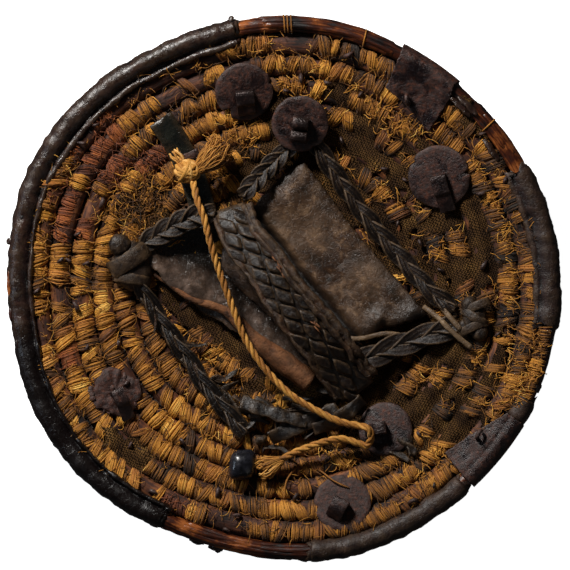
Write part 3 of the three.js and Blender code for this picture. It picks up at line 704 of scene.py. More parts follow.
CORD_POINTS = [
    (-58, 69, 33), (-55.5, 57.5, 38), (-51, 46, 40.5), (-47, 30, 40), (-41.3, 11.7, 37), (-33, -11, 34.5),
    (-23.8, -33.9, 33.5), (-11, -53, 33), (4.9, -69, 34), (21, -79, 35), (36.8, -86.6, 35.2), (50, -89.5, 36),
    (55.5, -91, 39), (57.5, -97, 36), (54.5, -102.5, 32), (48, -100.5, 32.5), (38, -98, 33), (27.7, -99.8, 33),
    (17.9, -103, 32.5), (6.8, -107.5, 32), (-3, -112.7, 31.5),
]
CORD_LAY = 19.0


def twisted_cord():
    """Three plies laid together."""
    middle = curve_through(CORD_POINTS, 0.8)
    lines, along = [], 0.0
    frames = []
    for i, place in enumerate(middle):
        tangent = (middle[min(i + 1, len(middle) - 1)] - middle[max(i - 1, 0)]).normalized()
        side = UP.cross(tangent).normalized()
        rise = tangent.cross(side)
        if i:
            along += (place - middle[i - 1]).length
        frames.append((place, side, rise, along))
    for ply in range(3):
        points = []
        for place, side, rise, run in frames:
            angle = TURN * (run / CORD_LAY + ply / 3)
            swell = 1.2 + 0.08 * math.sin(run * 0.9 + ply)
            points.append(place + (side * math.cos(angle) + rise * math.sin(angle)) * swell)
        tint = [0.5 + 0.16 * math.sin(run * 0.12 + ply * 2) + random.uniform(-0.08, 0.08)
                for _, _, _, run in frames]
        lines.append({"points": points, "widths": [1.22] * len(points), "tint": tint})
    return strands(lines, 1.0, 8)


cord = finish("twisted_cord", twisted_cord(), CORD_YARN, ["cord"])


def bundle(points, narrow, wide, count, tint, fibre=0.42, curl=1.0):
    """Loosened yarn: many fibres fanning out along a short line."""
    middle = curve_through(points, 2.2)
    lines = []
    for _ in range(count):
        turn = random.uniform(0, TURN)
        reach = math.sqrt(random.random())
        phase = random.uniform(0, TURN)
        stop = random.randint(max(3, len(middle) - 4), len(middle))
        strand = []
        for i in range(stop):
            share = i / (len(middle) - 1)
            tangent = (middle[min(i + 1, len(middle) - 1)] - middle[max(i - 1, 0)]).normalized()
            side = UP.cross(tangent).normalized()
            rise = tangent.cross(side)
            spread = (narrow + (wide - narrow) * math.sin(share * math.pi / 2)) * reach
            wander = curl * share * math.sin(phase + share * 7)
            strand.append(middle[i] + side * (spread * math.cos(turn) + wander)
                          + rise * (0.6 * spread * math.sin(turn) + 0.4 * wander))
        lines.append({"points": strand, "widths": [fibre] * stop,
                      "tint": min(1.0, max(0.0, random.gauss(tint, 0.14)))})
    return lines


def wound_knot(centre, sizes, turns, width, tint, lean=0.0):
    """Yarn or strip wound over a lump, as closed loops in several directions."""
    lines = []
    for i in range(turns):
        axis = Vector((random.uniform(-1, 1), random.uniform(-1, 1), random.uniform(-0.5, 0.5) + lean)).normalized()
        start = axis.orthogonal().normalized()
        points = []
        grow = random.uniform(0.86, 1.04)
        shift = axis * random.uniform(-0.35, 0.35)
        for k in range(18):
            spot = Quaternion(axis, TURN * k / 18) @ start + shift
            points.append(Vector(centre) + Vector((spot.x * sizes[0], spot.y * sizes[1], spot.z * sizes[2])) * grow)
        lines.append({"points": points, "widths": [width] * 18, "closed": True,
                      "tint": min(1.0, max(0.0, random.gauss(tint, 0.12)))})
    return lines


knot_lines = wound_knot((-62, 76, 31.5), (7.6, 6.4, 4.8), 14, 1.6, 0.62)
cord_knot = finish("cord_knot_wound", strands(knot_lines, 1.0, 6), CORD_YARN, ["cord_knot"])
tassel_lines = bundle([(-57, 76, 31), (-49, 82, 34.5), (-43, 87.5, 34), (-37, 93, 30.5)], 3.0, 8.6, 420, 0.40, 0.36, 3.6)
tassel_lines += bundle([(-63, 78, 31), (-67, 84, 31.5), (-71, 89, 30)], 2.2, 3.6, 44, 0.58, 0.6)
tassel = finish("cord_tassel_fibres", strands(tassel_lines, 1.0), CORD_YARN, ["cord_tassel_upper"])
end_lines = bundle([(0, -111.5, 31.5), (-7, -115, 31.8), (-15.5, -118.5, 30)], 2.0, 7.6, 220, 0.62, 0.42, 1.4)
end_tuft = finish("cord_end_fibres", strands(end_lines, 1.0), CORD_YARN, ["cord_end_tuft"])


# Front and coiled body

def front_leather():
    bm = bmesh.new()
    rim = BODY_EDGE + 4
    stations = [i * rim / 46 for i in range(47)]
    outer = [bm.verts.new((r, 0, front_height(r))) for r in stations]
    inner = [bm.verts.new((r, 0, front_height(r) + FRONT_LEATHER)) for r in reversed(stations)]
    profile = outer + inner
    edges = [bm.edges.new(pair) for pair in zip(profile, profile[1:])]
    bmesh.ops.spin(bm, geom=profile + edges, cent=(0, 0, 0), axis=(0, 0, 1), angle=TURN, steps=160, use_merge=True)
    bmesh.ops.remove_doubles(bm, verts=bm.verts, dist=0.01)
    for vert in bm.verts:
        radius = math.hypot(vert.co.x, vert.co.y)
        if radius > 0.01:
            x, y = on_body(radius, math.atan2(vert.co.y, vert.co.x))
            vert.co.x, vert.co.y = x, y
        if radius > FLAT_SPOT_RADIUS:
            ring = 0.35 * math.cos(TURN * radius / COIL_WIDTH)
            calm = min(1.0, (radius - FLAT_SPOT_RADIUS) / 20, max(0.15, (rim - radius) / 12))
            vert.co.z += (ring + 0.7 * rough(vert.co, 34, 3)) * calm
    return finish_bmesh("front_leather_skin", bm, FRONT_SKIN, ["front_leather"])


front_leather()


def coil_line(coil, degrees_step=None):
    """The middle line of one coil of the cane body."""
    radius = (coil + 0.5) * COIL_WIDTH
    count = max(36, round(TURN * radius / 5.5))
    points = []
    for i in range(count):
        angle = TURN * i / count
        x, y = on_body(radius + 0.5 * rough((math.cos(angle) * 9, math.sin(angle) * 9, coil), 2.0), angle)
        points.append(Vector((x, y, coil_top(x, y) - CANE_THICKNESS / 2)))
    return points


def cane_coils():
    section = [(6.85 * math.cos(TURN * i / 12), 4.5 * math.sin(TURN * i / 12)) for i in range(12)]
    lines = [{"points": coil_line(coil), "closed": True} for coil in range(COILS)]
    bm = as_bmesh(swept(lines, section))
    pushed(bm, 0.35, 14, 5)
    return finish_bmesh("cane_coils", bm, COIL_CANE, ["coiled_cane_body"])


cane_coils()

FIXINGS = [
    {"name": "top_left", "at": (-25.1, 128.6), "radius": 18.9, "lift": 2.3, "turn": 188, "width": 12,
     "length": 14, "rise": 6, "bites": [(232, 12, 5), (20, 5, 2)], "curls": ()},
    {"name": "handle_top", "at": (11.7, 109), "radius": 18.5, "lift": 10.2, "turn": 172, "width": 11,
     "length": 13, "rise": 6.5, "bites": [(300, 8, 1.5)], "curls": ((-1.5, 3.4, 4.2), (7.5, 2.6, 3.8))},
    {"name": "upper_right", "at": (102.5, 72.9), "radius": 20.5, "lift": 2.3, "turn": 196, "width": 10.4,
     "length": 22, "rise": 5.5, "bites": [(12, 3, 12), (150, 8, 2)], "curls": ()},
    {"name": "lower_left", "at": (-109, -67.7), "radius": 16.5, "lift": 0.6, "turn": 205, "width": 9,
     "length": 19, "rise": 7, "bites": [(60, 42, 4), (165, 22, 3), (250, 30, 4), (330, 16, 2.5)],
     "curls": ()},
    {"name": "handle_lower", "at": (67.4, -92.4), "radius": 17.6, "lift": 2.3, "turn": 100, "width": 8,
     "length": 12, "rise": 9, "bites": [(290, 14, 2)], "curls": ()},
    {"name": "bottom", "at": (39.1, -140), "radius": 18.6, "lift": 0.6, "turn": 150, "width": 11,
     "length": 11, "rise": 8, "bites": [(80, 10, 2), (190, 8, 2.5)], "curls": ()},
]
UPPER_PLATE = [(86, 176), (66, 130), (78, 120), (95, 100), (109, 122), (112, 131), (136, 153), (120, 176)]
LOWER_PLATE = [(104, -107), (126, -92), (146, -80), (168, -96), (160, -130), (140, -146), (118, -124)]


def under_iron(x, y, margin):
    """Whether a roundel or a rim plate lies over a spot; the margin widens the roundels."""
    return (any(math.hypot(x - fixing["at"][0], y - fixing["at"][1]) < fixing["radius"] + margin for fixing in FIXINGS)
            or inside(UPPER_PLATE, x, y) or inside(LOWER_PLATE, x, y))


CLOTH_OUTLINE = [
    (-28, 111), (-9, 138), (11, 144), (41, 135), (52, 122), (78, 111), (93, 98), (122, 82), (133, 60), (144, 29),
    (146, -24), (145, -57), (129, -99), (103, -122), (77, -113), (50, -113), (25, -104), (-20, -72), (-36, -92),
    (-57, -89), (-61, -60), (-54, -40), (-80, -8), (-86, 17), (-47, 51), (-37, 83),
]
# Holes worn through the lining, as photograph pixel and size in millimetres.
LINING_HOLES = [
    (437, 240, 9), (503, 163, 12), (355, 76, 9), (392, 130, 10), (308, 84, 12), (338, 352, 7), (415, 488, 12),
    (466, 300, 6), (505, 300, 7), (248, 138, 9), (212, 366, 13), (430, 470, 9), (378, 108, 8), (500, 225, 6),
    (418, 372, 6), (484, 400, 6), (222, 395, 10),
]
# Coil stretches where the cane lies bare or is wound in reddish yarn: pixel, half sizes, bare or red. The bare stretch
# at 174, 326 is a painted shadow: yarn is left off there so that the dark bare cane stands for the shade beside the
# flap and the braid.
WORN_SPOTS = [
    (65, 294, 12, 9, "bare"), (100, 148, 30, 42, "red"), (70, 215, 22, 30, "red"), (150, 84, 38, 20, "bare"),
    (120, 104, 14, 12, "bare"), (84, 140, 12, 16, "bare"), (205, 60, 20, 8, "bare"), (60, 205, 9, 9, "bare"),
    (150, 486, 12, 8, "bare"), (174, 326, 20, 30, "bare"), (116, 392, 22, 18, "bare"), (62, 360, 10, 14, "red"),
    (230, 520, 24, 10, "bare"), (330, 540, 20, 8, "bare"), (40, 330, 6, 16, "bare"), (150, 160, 22, 10, "red"),
    (96, 205, 14, 10, "bare"), (170, 120, 14, 8, "bare"), (290, 45, 26, 7, "bare"), (170, 500, 18, 8, "red"),
]


def worn_kind(x, y):
    """Whether a spot of the coils is bare, reddish or yarn."""
    kind = "yarn"
    for px, py, half_x, half_y, word in WORN_SPOTS:
        cx, cy = from_photo(px, py)
        edge = ((x - cx) / (half_x * 0.651)) ** 2 + ((y - cy) / (half_y * 0.651)) ** 2
        if edge < 1 + 0.5 * rough((x, y, 0), 6, 2):
            kind = word
            if word == "bare":
                return kind
    return kind


# Scraps of lining left beside the main cloth, in photograph pixels.
LINING_SCRAPS = [
    [(112, 202), (130, 184), (152, 180), (184, 200), (180, 226), (140, 234), (116, 222)],
    [(100, 428), (134, 428), (154, 446), (168, 484), (148, 500), (122, 486), (104, 462)],
    [(452, 88), (476, 102), (498, 140), (470, 138), (446, 112)],
]


def on_lining(x, y):
    """Whether a place lies within the lining's outline or one of its scraps."""
    return inside(CLOTH_OUTLINE, x, y) or any(
        inside([from_photo(px, py) for px, py in scrap], x, y) for scrap in LINING_SCRAPS)


def lining_torn(x, y):
    """Whether the lining is worn through here, mostly on the crests of the coils."""
    crest = 0.5 - 0.5 * math.cos(TURN * body_radius(x, y) / COIL_WIDTH)
    value = rough((x, y, 0), 15, 11) + 0.45 * rough((x, y, 0), 5, 4) + 0.3 * crest
    for px, py, size in LINING_HOLES:
        cx, cy = from_photo(px, py)
        distance = math.hypot(x - cx, y - cy)
        if distance < 2 * size:
            value += 0.75 * math.exp(-(distance / size) ** 2)
    return value > 0.56


def under_lining(x, y):
    """Whether the lining hides a spot of the coils."""
    return all(on_lining(x + dx, y + dy) and not lining_torn(x + dx, y + dy)
               for dx, dy in ((0, 0), (3, 0), (-3, 0), (0, 3), (0, -3)))


PAD_OUTLINE = [
    (14.5, 85), (30, 64.5), (46.5, 41.5), (66, 18.5), (88, -7), (95, -19), (63, -30), (41, -44), (13, -44.5),
    (-11.5, -18.5), (-32.5, 1), (-42, 17.5), (-36, 36), (-24, 50), (-15, 61), (-2, 74),
]


def wrapped_group(coil, angle, width, kind):
    """One bunch of yarn wound over a coil: pinched in the grooves, full on the crest."""
    radius = (coil + 0.5) * COIL_WIDTH
    mid_x, mid_y = on_body(radius, angle)
    puff = random.uniform(0.4, 2.8) if kind == "yarn" else random.uniform(0.0, 0.5)
    pinch = random.uniform(0.3, 0.75)
    slant = random.gauss(1.2, 2.6)
    # Painted shade: the yarn is painted darker towards the right, as the light falls off away from the lamp.
    tone = random.gauss(0.41, 0.12) + 0.3 * rough((mid_x, mid_y, 0), 17, 3) - 0.0007 * mid_x
    red = 1.0 if kind == "red" else 0.5 * (random.random() < 0.1)
    count = max(4, round(width / 0.7))
    reach = 6.5 + random.uniform(-0.3, 0.3) + random.choice((0, 0, 0, 0.6, 1.3))
    # Three thick soft strands fill the bunch beneath the fine ones; they are tinted darker, as painted shade beneath
    # them.
    plans = [(share, 1.15, -0.75) for share in (-0.3, 0.0, 0.3)]
    plans += [((k + random.uniform(-0.4, 0.4)) / (count - 1) - 0.5, random.uniform(0.34, 0.5), 0.0)
              for k in range(count) if random.random() > 0.04]
    lines = []
    for share, thick, sink in plans:
        lift = sink + puff * math.sqrt(max(0.0, 1 - (1.8 * share) ** 2)) + random.uniform(-0.2, 0.5)
        stray_off = random.gauss(0, 0.5)
        first = -1.0 if random.random() > 0.1 else random.uniform(-0.6, -0.1)
        points, tints = [], []
        # Painted shade: the sunk strands are tinted darker.
        tint = random.gauss(tone, 0.08) - (0.1 if sink else 0.0)
        for i in range(6):
            t = first + (1.0 - first) * i / 5
            phi = math.radians(90) * t
            across = (reach + 0.15 * lift) * math.sin(phi)
            height = (CANE_THICKNESS / 2 + 0.3 + lift) * math.cos(phi)
            run = share * width * (pinch + (1 - pinch) * (1 - t * t)) + slant * t + stray_off * (1 - t * t)
            at = angle + run / radius
            x, y = on_body(radius + across, at)
            points.append((x, y, coil_top(x, y) - CANE_THICKNESS / 2 + height))
            # Painted highlight and shade: each strand is painted lighter on the coil's crest and darker down into the
            # grooves.
            tints.append(tint + 0.14 * (1 - t * t) - 0.4 * abs(t) ** 3)
        lines.append({"points": points, "widths": [thick] * 6, "tint": tints, "red": red})
    return lines


def yarn_wraps(coils):
    lines = []
    for coil in coils:
        radius = (coil + 0.5) * COIL_WIDTH
        run = random.uniform(0, 5)
        while run < TURN * radius - 3:
            width = random.uniform(4.0, 9.0)
            angle = (run + width / 2) / radius
            x, y = on_body(radius, angle)
            run += width + random.choice((0.1, 0.3, 0.5, 1.4))
            kind = worn_kind(x, y)
            hidden = under_lining(x, y) or inside(PAD_OUTLINE, x, y) or under_iron(x, y, -4)
            if hidden or (kind == "bare" and random.random() < 0.88) or random.random() < 0.035:
                continue
            lines += wrapped_group(coil, angle, width, "yarn" if kind == "bare" else kind)
    return lines


finish("yarn_wraps_outer", strands(yarn_wraps((10, 11)), 1.0), WRAP_YARN)
finish("yarn_wraps_middle", strands(yarn_wraps((7, 8, 9)), 1.0), WRAP_YARN)
finish("yarn_wraps_inner", strands(yarn_wraps((2, 3, 4, 5, 6)), 1.0), WRAP_YARN)


def loose_fibre(x, y, heading, length, tint, height=1.0, thickness=0.3, red=0.0):
    """One frayed fibre that curls over the surface."""
    points, phase, bend = [], random.uniform(0, TURN), random.gauss(0, 0.16)
    for i in range(6):
        points.append((x, y, coil_top(x, y) + height + 0.9 * math.sin(phase + i * 0.9) * min(i, 2) / 2))
        heading += bend + random.gauss(0, 0.22)
        x += math.cos(heading) * length / 5
        y += math.sin(heading) * length / 5
    return {"points": points, "widths": [thickness * s for s in (1, 1.1, 1, 0.9, 0.75, 0.5)], "tint": tint, "red": red}


def frayed_yarn():
    lines = []
    while len(lines) < 2500:
        angle = random.uniform(0, TURN)
        near_rim = len(lines) % 5 == 0
        radius = random.uniform(153, 164) if near_rim else 164 * math.sqrt(random.uniform(0.1, 1))
        x, y = on_body(radius, angle)
        if under_lining(x, y) or inside(PAD_OUTLINE, x, y) or under_iron(x, y, 3):
            continue
        if len(lines) % 6 == 1:
            # A thick fray of old yarn lies over the coils above the left corner of the handle.
            x, y = from_photo(random.gauss(136, 22), random.gauss(196, 20))
        kind = worn_kind(x, y)
        if kind == "bare" and random.random() < 0.6:
            continue
        heading = angle + (math.pi / 2 if near_rim else 0) + random.choice((0, math.pi)) + random.gauss(0, 0.8)
        length = random.uniform(3, 7) if near_rim else random.uniform(3, 12)
        lines.append(loose_fibre(x, y, heading, length, random.gauss(0.48, 0.18),
                                 random.uniform(0.6, 2.4), random.uniform(0.16, 0.28), 1.0 if kind == "red" else 0.0))
    string = curve_through([from_photo(px, py) + (0,) for px, py in ((284, 499), (287, 480), (300, 466), (318, 470),
                                                                    (334, 481), (349, 488))], 2.0)
    lines.append({"points": over([(p.x, p.y, 2.5 + 2 * math.sin(i * 0.3)) for i, p in enumerate(string)]),
                  "widths": [0.6] * len(string), "tint": 0.42})
    return lines


def torn_fringe():
    """Golden yarn ends along the torn edges of the lining."""
    lines = []
    edge = curve_through([(x, y, 0) for x, y in CLOTH_OUTLINE + CLOTH_OUTLINE[:1]], 1.3)
    for i, place in enumerate(edge[:-1]):
        if rough(place, 16, 4) < -0.12:
            continue
        ahead = edge[i + 1] - place
        outward = math.atan2(ahead.y, ahead.x) + math.pi / 2
        lines.append(loose_fibre(place.x, place.y, outward + random.gauss(0, 0.5), random.uniform(3, 10),
                                 random.gauss(0.66, 0.14), 1.7, 0.26))
    tries = 0
    while tries < 9000 and len(lines) < 1500:
        tries += 1
        x, y = random.uniform(-85, 146), random.uniform(-124, 145)
        if not inside(CLOTH_OUTLINE, x, y) or inside(PAD_OUTLINE, x, y) or not lining_torn(x, y):
            continue
        if all(lining_torn(x + dx, y + dy) for dx, dy in ((4, 0), (-4, 0), (0, 4), (0, -4))):
            continue
        lines.append(loose_fibre(x, y, random.uniform(0, TURN), random.uniform(3, 9), random.gauss(0.66, 0.15),
                                 random.uniform(1.2, 2.6), random.uniform(0.2, 0.34)))
    return lines


finish("frayed_fibres", strands(frayed_yarn() + torn_fringe(), 1.0), WRAP_YARN)


def lining_cloth():
    """The coarse lining that sinks into the coil grooves, with its torn outline."""
    bm = bmesh.new()
    bmesh.ops.create_grid(bm, x_segments=160, y_segments=160, size=1.0)
    gone = []
    for vert in bm.verts:
        x, y = 14 + vert.co.x * 138, 11 + vert.co.y * 138
        ragged_x = x + 3.2 * rough((x, y, 0), 5, 1) + 2.5 * rough((x, y, 0), 14, 6)
        ragged_y = y + 3.2 * rough((x, y, 7), 5, 1) + 2.5 * rough((x, y, 9), 14, 6)
        if lining_torn(x, y) or not on_lining(ragged_x, ragged_y):
            gone.append(vert)
            continue
        groove = 0.5 + 0.5 * math.cos(TURN * body_radius(x, y) / COIL_WIDTH)
        lift = 1.3 - 2.6 * groove + 1.0 * rough((x, y, 0), 9, 8) + 0.5 * rough((x, y, 0), 3.5, 3)
        vert.co = (x, y, coil_top(x, y) + lift)
    bmesh.ops.delete(bm, geom=gone, context="VERTS")
    bmesh.ops.delete(bm, geom=[v for v in bm.verts if not v.link_faces], context="VERTS")
    mesh = bpy.data.meshes.new("lining_cloth_torn")
    bm.to_mesh(mesh)
    bm.free()
    piece = finish("lining_cloth_torn", mesh, LINING, ["lining_cloth"])
    wall = piece.modifiers.new("cloth_thickness", "SOLIDIFY")
    wall.thickness = 0.0007
    wall.offset = 0
    return piece


lining_cloth()


# Rim

def arc_points(start, end, step=2.0):
    count = max(2, round(math.radians(end - start) * ROD_PATH_RADIUS / step))
    return [start + (end - start) * i / count for i in range(count + 1)]


def rim_rod():
    degrees = arc_points(0, 360, 3.0)[:-1]
    points = [on_rod(d, 0.5 * rough(on_rod(d), 22, 1), 0.4 * rough(on_rod(d), 17, 5)) for d in degrees]
    lines = [{"points": points, "closed": True,
              "widths": [5.0 + 0.4 * rough(p, 12, 2) + 0.35 * rough(p, 5, 7) for p in points]}]
    bm = as_bmesh(swept(lines, None, 1.0, 12))
    splints = []
    for start, end in ((60, 101), (26, 49), (242, 277)):
        for turn in (10, 62, 104, 150, 200):
            lift = math.radians(turn + random.uniform(-8, 8))
            wave = random.uniform(0, 9)
            run = arc_points(start + random.uniform(-2, 6), end + random.uniform(-8, 2), 3.0)
            places = [on_rod(d, 3.4 * math.cos(lift + 0.1 * math.sin(d * 0.3 + wave)),
                             3.4 * math.sin(lift + 0.1 * math.sin(d * 0.3 + wave))) for d in run]
            splints.append({"points": places,
                            "widths": [2.3 + 0.5 * rough(p, 14, turn) - 1.2 * (i in (0, len(places) - 1))
                                       for i, p in enumerate(places)]})
    whole = merged([bm, as_bmesh(swept(splints, None, 1.0, 8))])
    pushed(whole, 0.35, 6, 4, 0.15)
    return finish_bmesh("rim_rod_and_splints", whole, ROD_CANE, ["rim_cane"], join=0.002)


rim_rod()


def rim_binding(name, start, end, sheet_line, nodes, seed):
    """Leather drawn over the rim, dented and lumpy, its ends torn off unevenly."""
    degrees = arc_points(start, end, 1.5)
    points = [on_rod(d, 0.9 * rough(on_rod(d), 22, seed) - 0.3, 0.6 * rough(on_rod(d), 15, seed)) for d in degrees]
    tilts = [0.11 * rough(p, 24, seed + 2) for p in points]
    widths = [0.94 + 0.05 * rough(p, 11, seed + 3) - 0.12 * max(0, 1 - i / 5, 1 - (len(points) - 1 - i) / 5)
              for i, p in enumerate(points)]
    bm = as_bmesh(swept([{"points": points, "tilts": tilts, "widths": widths}], thick_line(sheet_line, 1.5)))
    middle, half = (start + end) / 2, (end - start) / 2
    for vert in bm.verts:
        angle = math.atan2(vert.co.y, vert.co.x)
        away = (math.degrees(angle) - middle + 180) % 360 - 180
        degrees_here = middle + away
        outward = math.hypot(vert.co.x, vert.co.y) - math.hypot(*on_rod(degrees_here).xy)
        if half > 60 and outward < -6:
            # The inner ridge dies out down the left side, where the leather is one wide face.
            fade = min(1.0, max(0.0, (degrees_here - 148) / 22))
            pull = fade * (-6 - outward) * 0.42
            vert.co.x += pull * math.cos(angle)
            vert.co.y += pull * math.sin(angle)
            vert.co.z += fade * 1.2
        if abs(away) > half - 1.2:
            ragged = math.radians(2.2 * rough((outward, vert.co.z, 0), 4, seed) - 0.8) * math.copysign(1, away)
            vert.co.xy = Matrix.Rotation(ragged, 2) @ vert.co.xy
    pushed(bm, 1.1, 8, seed, 0.5)
    piece = finish_bmesh(name, bm, RIM_LEATHER if half > 60 else WORN_RIM, nodes)
    # The left binding is painted darker towards the bottom.
    soil_and_shade = piece.data.attributes.new("soil_and_shade", "FLOAT", "POINT")
    for i, vert in enumerate(piece.data.vertices):
        x, y = vert.co.x / TO_METRES, vert.co.y / TO_METRES
        low = (-y - 12) / 30 + 0.5 * rough((x, y, seed), 14, 2)
        soil_and_shade.data[i].value = max(0.0, min(0.92, low)) if half > 60 else 0.0
    return piece


LEFT_ROLL = [(-3.0, -7.1), (0.5, -7.3), (3.8, -6.3), (6.3, -3.8), (7.2, 0), (6.5, 3.3), (4.4, 5.8), (1.4, 7.1),
             (-1.8, 6.6), (-4.2, 4.6), (-5.6, 2.4), (-6.8, 1.5), (-8.0, 2.3), (-9.0, 3.6), (-10.4, 3.7), (-11.6, 2.2)]
BOTTOM_ROLL = [(-3.0, -7.1), (0.5, -7.3), (3.8, -6.3), (6.3, -3.8), (7.2, 0), (6.5, 3.3), (4.4, 5.8), (1.4, 7.1),
               (-1.8, 6.7), (-4.4, 4.8), (-5.8, 2.4), (-6.2, 0.6)]
RIGHT_ROLL = [(-3.0, -7.1), (0.5, -7.3), (3.8, -6.3), (6.3, -3.8), (7.2, 0), (6.5, 3.3), (4.4, 5.8), (1.4, 7.1),
              (-1.8, 6.8), (-4.4, 5.3), (-6.2, 3.9), (-7.6, 4.2), (-9.0, 4.6), (-10.4, 3.6), (-11.2, 1.6)]
rim_binding("rim_leather_left_roll", 98.8, 243.9, LEFT_ROLL, ["rim_leather_left"], 1)
rim_binding("rim_leather_bottom_roll", 274.7, 314, BOTTOM_ROLL, ["rim_leather_bottom"], 4)
rim_binding("rim_leather_right_strip", -9.8, 27.9, RIGHT_ROLL, ["rim_leather_right"], 7)
rim_binding("rim_leather_scrap", -31, -23, BOTTOM_ROLL, [], 11)


def rim_scraps():
    """Worn-through cane showing on the left binding, and leather scraps hanging at the lower edge."""
    shown = []
    for start, end, out, up, size in ((176.5, 182, 5.7, 3.6, 1.7), (184.2, 187, 6.0, 3.0, 1.5), (170, 172, 3.0, 5.6, 1.1),
                                      (191, 193, 4.6, 4.8, 1.0)):
        run = arc_points(start, end, 1.2)
        shown.append({"points": [on_rod(d, out, up) for d in run],
                      "widths": [size * (0.35 + 0.65 * math.sin(math.pi * (i + 0.5) / len(run)))
                                 for i in range(len(run))]})
    bm = as_bmesh(swept(shown, None, 1.0, 10))
    pushed(bm, 0.3, 3, 4, 0.1)
    finish_bmesh("worn_through_cane", bm, ROD_CANE, join=0.002)
    scraps = []
    for start, end, out, up in ((249.6, 253.0, 5.6, -2.0), (254.0, 257.2, 6.2, -2.6), (255.6, 256.6, 7.4, -3.0),
                                (273.2, 275.4, 4.6, 1.6), (100.2, 101.4, 6.9, 2.6), (42.5, 48.5, -5.2, 4.6),
                                (41.5, 47.5, -1.5, 5.9), (30.5, 36.5, -8.6, 3.2), (-22.4, -20.4, 4.2, 3.4),
                                (169.6, 171.0, 6.8, 1.0)):
        run = arc_points(start, end, 1.4)
        scraps.append({"points": [on_rod(d, out + 1.3 * rough((d, 0, 0), 1.3, 3), up + rough((d, 2, 0), 1.5, 5))
                                  for d in run],
                       "tilts": [0.5 + 0.6 * rough((d, 0, 0), 1.5, 7) for d in run],
                       "widths": [0.6 + 0.5 * math.sin(math.pi * i / max(1, len(run) - 1)) for i in range(len(run))]})
    bm = as_bmesh(swept(scraps, flat_section(4.2, 1.4, 0.4)))
    pushed(bm, 0.5, 3, 2, 0.2)
    finish_bmesh("hanging_scraps", bm, RIM_LEATHER, join=0.002)


rim_scraps()


def rim_yarn():
    """Yarn wound over the bare rod at the right, and a few stitches at the top."""
    lines, degrees = [], -9.0
    while degrees > -25:
        width = random.uniform(1.4, 2.4)
        tone = random.gauss(0.46, 0.12)
        for _ in range(round(width * 6)):
            at = degrees - random.uniform(0, width)
            reach = random.uniform(5.7, 6.9)
            first, last = random.uniform(185, 205), random.uniform(60, 84)
            slant = random.gauss(0.3, 0.6)
            lines.append({"points": [on_rod(at + slant * k / 7, reach * math.cos(math.radians(a)),
                                            reach * math.sin(math.radians(a)))
                                     for k, a in enumerate([first + (last - first) * k / 7 for k in range(8)])],
                          "widths": [random.uniform(0.35, 0.55)] * 8, "tint": random.gauss(tone, 0.09)})
        degrees -= width
    for _ in range(90):
        at = random.uniform(-27, -8)
        heading, reach = random.uniform(0, TURN), random.uniform(2, 6)
        start = on_rod(at, random.uniform(-10, 2), 6.4)
        points = [start + Vector((math.cos(heading) * reach * k / 4, math.sin(heading) * reach * k / 4,
                                  0.7 * math.sin(k * 1.3))) for k in range(5)]
        lines.append({"points": points, "widths": [0.26, 0.28, 0.26, 0.22, 0.14], "tint": random.gauss(0.66, 0.15)})
    for at in (87.8, 88.6, 89.3, 71.5, 38.0):
        lines.append({"points": [on_rod(at + 0.1 * k, 6.1 * math.cos(math.radians(a)), 6.1 * math.sin(math.radians(a)))
                                 for k, a in enumerate((200, 160, 125, 90, 55, 20))],
                      "widths": [0.5] * 6, "tint": 0.55})
    finish("rim_yarn", strands(lines, 1.0), WRAP_YARN)


rim_yarn()


# Iron

def outline_prism(outline, depth, bevel=0.35, segments=2):
    """A flat outline given depth, centred on its own width, with softened edges."""
    bm = bmesh.new()
    face = bm.faces.new([bm.verts.new((x, y, -depth / 2)) for x, y in outline])
    made = bmesh.ops.extrude_face_region(bm, geom=[face])
    bmesh.ops.translate(bm, verts=[v for v in made["geom"] if isinstance(v, bmesh.types.BMVert)], vec=(0, 0, depth))
    bmesh.ops.recalc_face_normals(bm, faces=bm.faces)
    bmesh.ops.bevel(bm, geom=bm.edges[:], offset=bevel, segments=segments, affect="EDGES", profile=0.5, material=-1)
    return bm


def turned(profile, steps=40):
    """A profile of radius and height spun about the upright axis."""
    bm = bmesh.new()
    verts = [bm.verts.new((r, 0, z)) for r, z in profile]
    edges = [bm.edges.new(pair) for pair in zip(verts, verts[1:])]
    bmesh.ops.spin(bm, geom=verts + edges, cent=(0, 0, 0), axis=(0, 0, 1), angle=TURN, steps=steps, use_merge=True)
    bmesh.ops.remove_doubles(bm, verts=bm.verts, dist=0.001)
    return bm




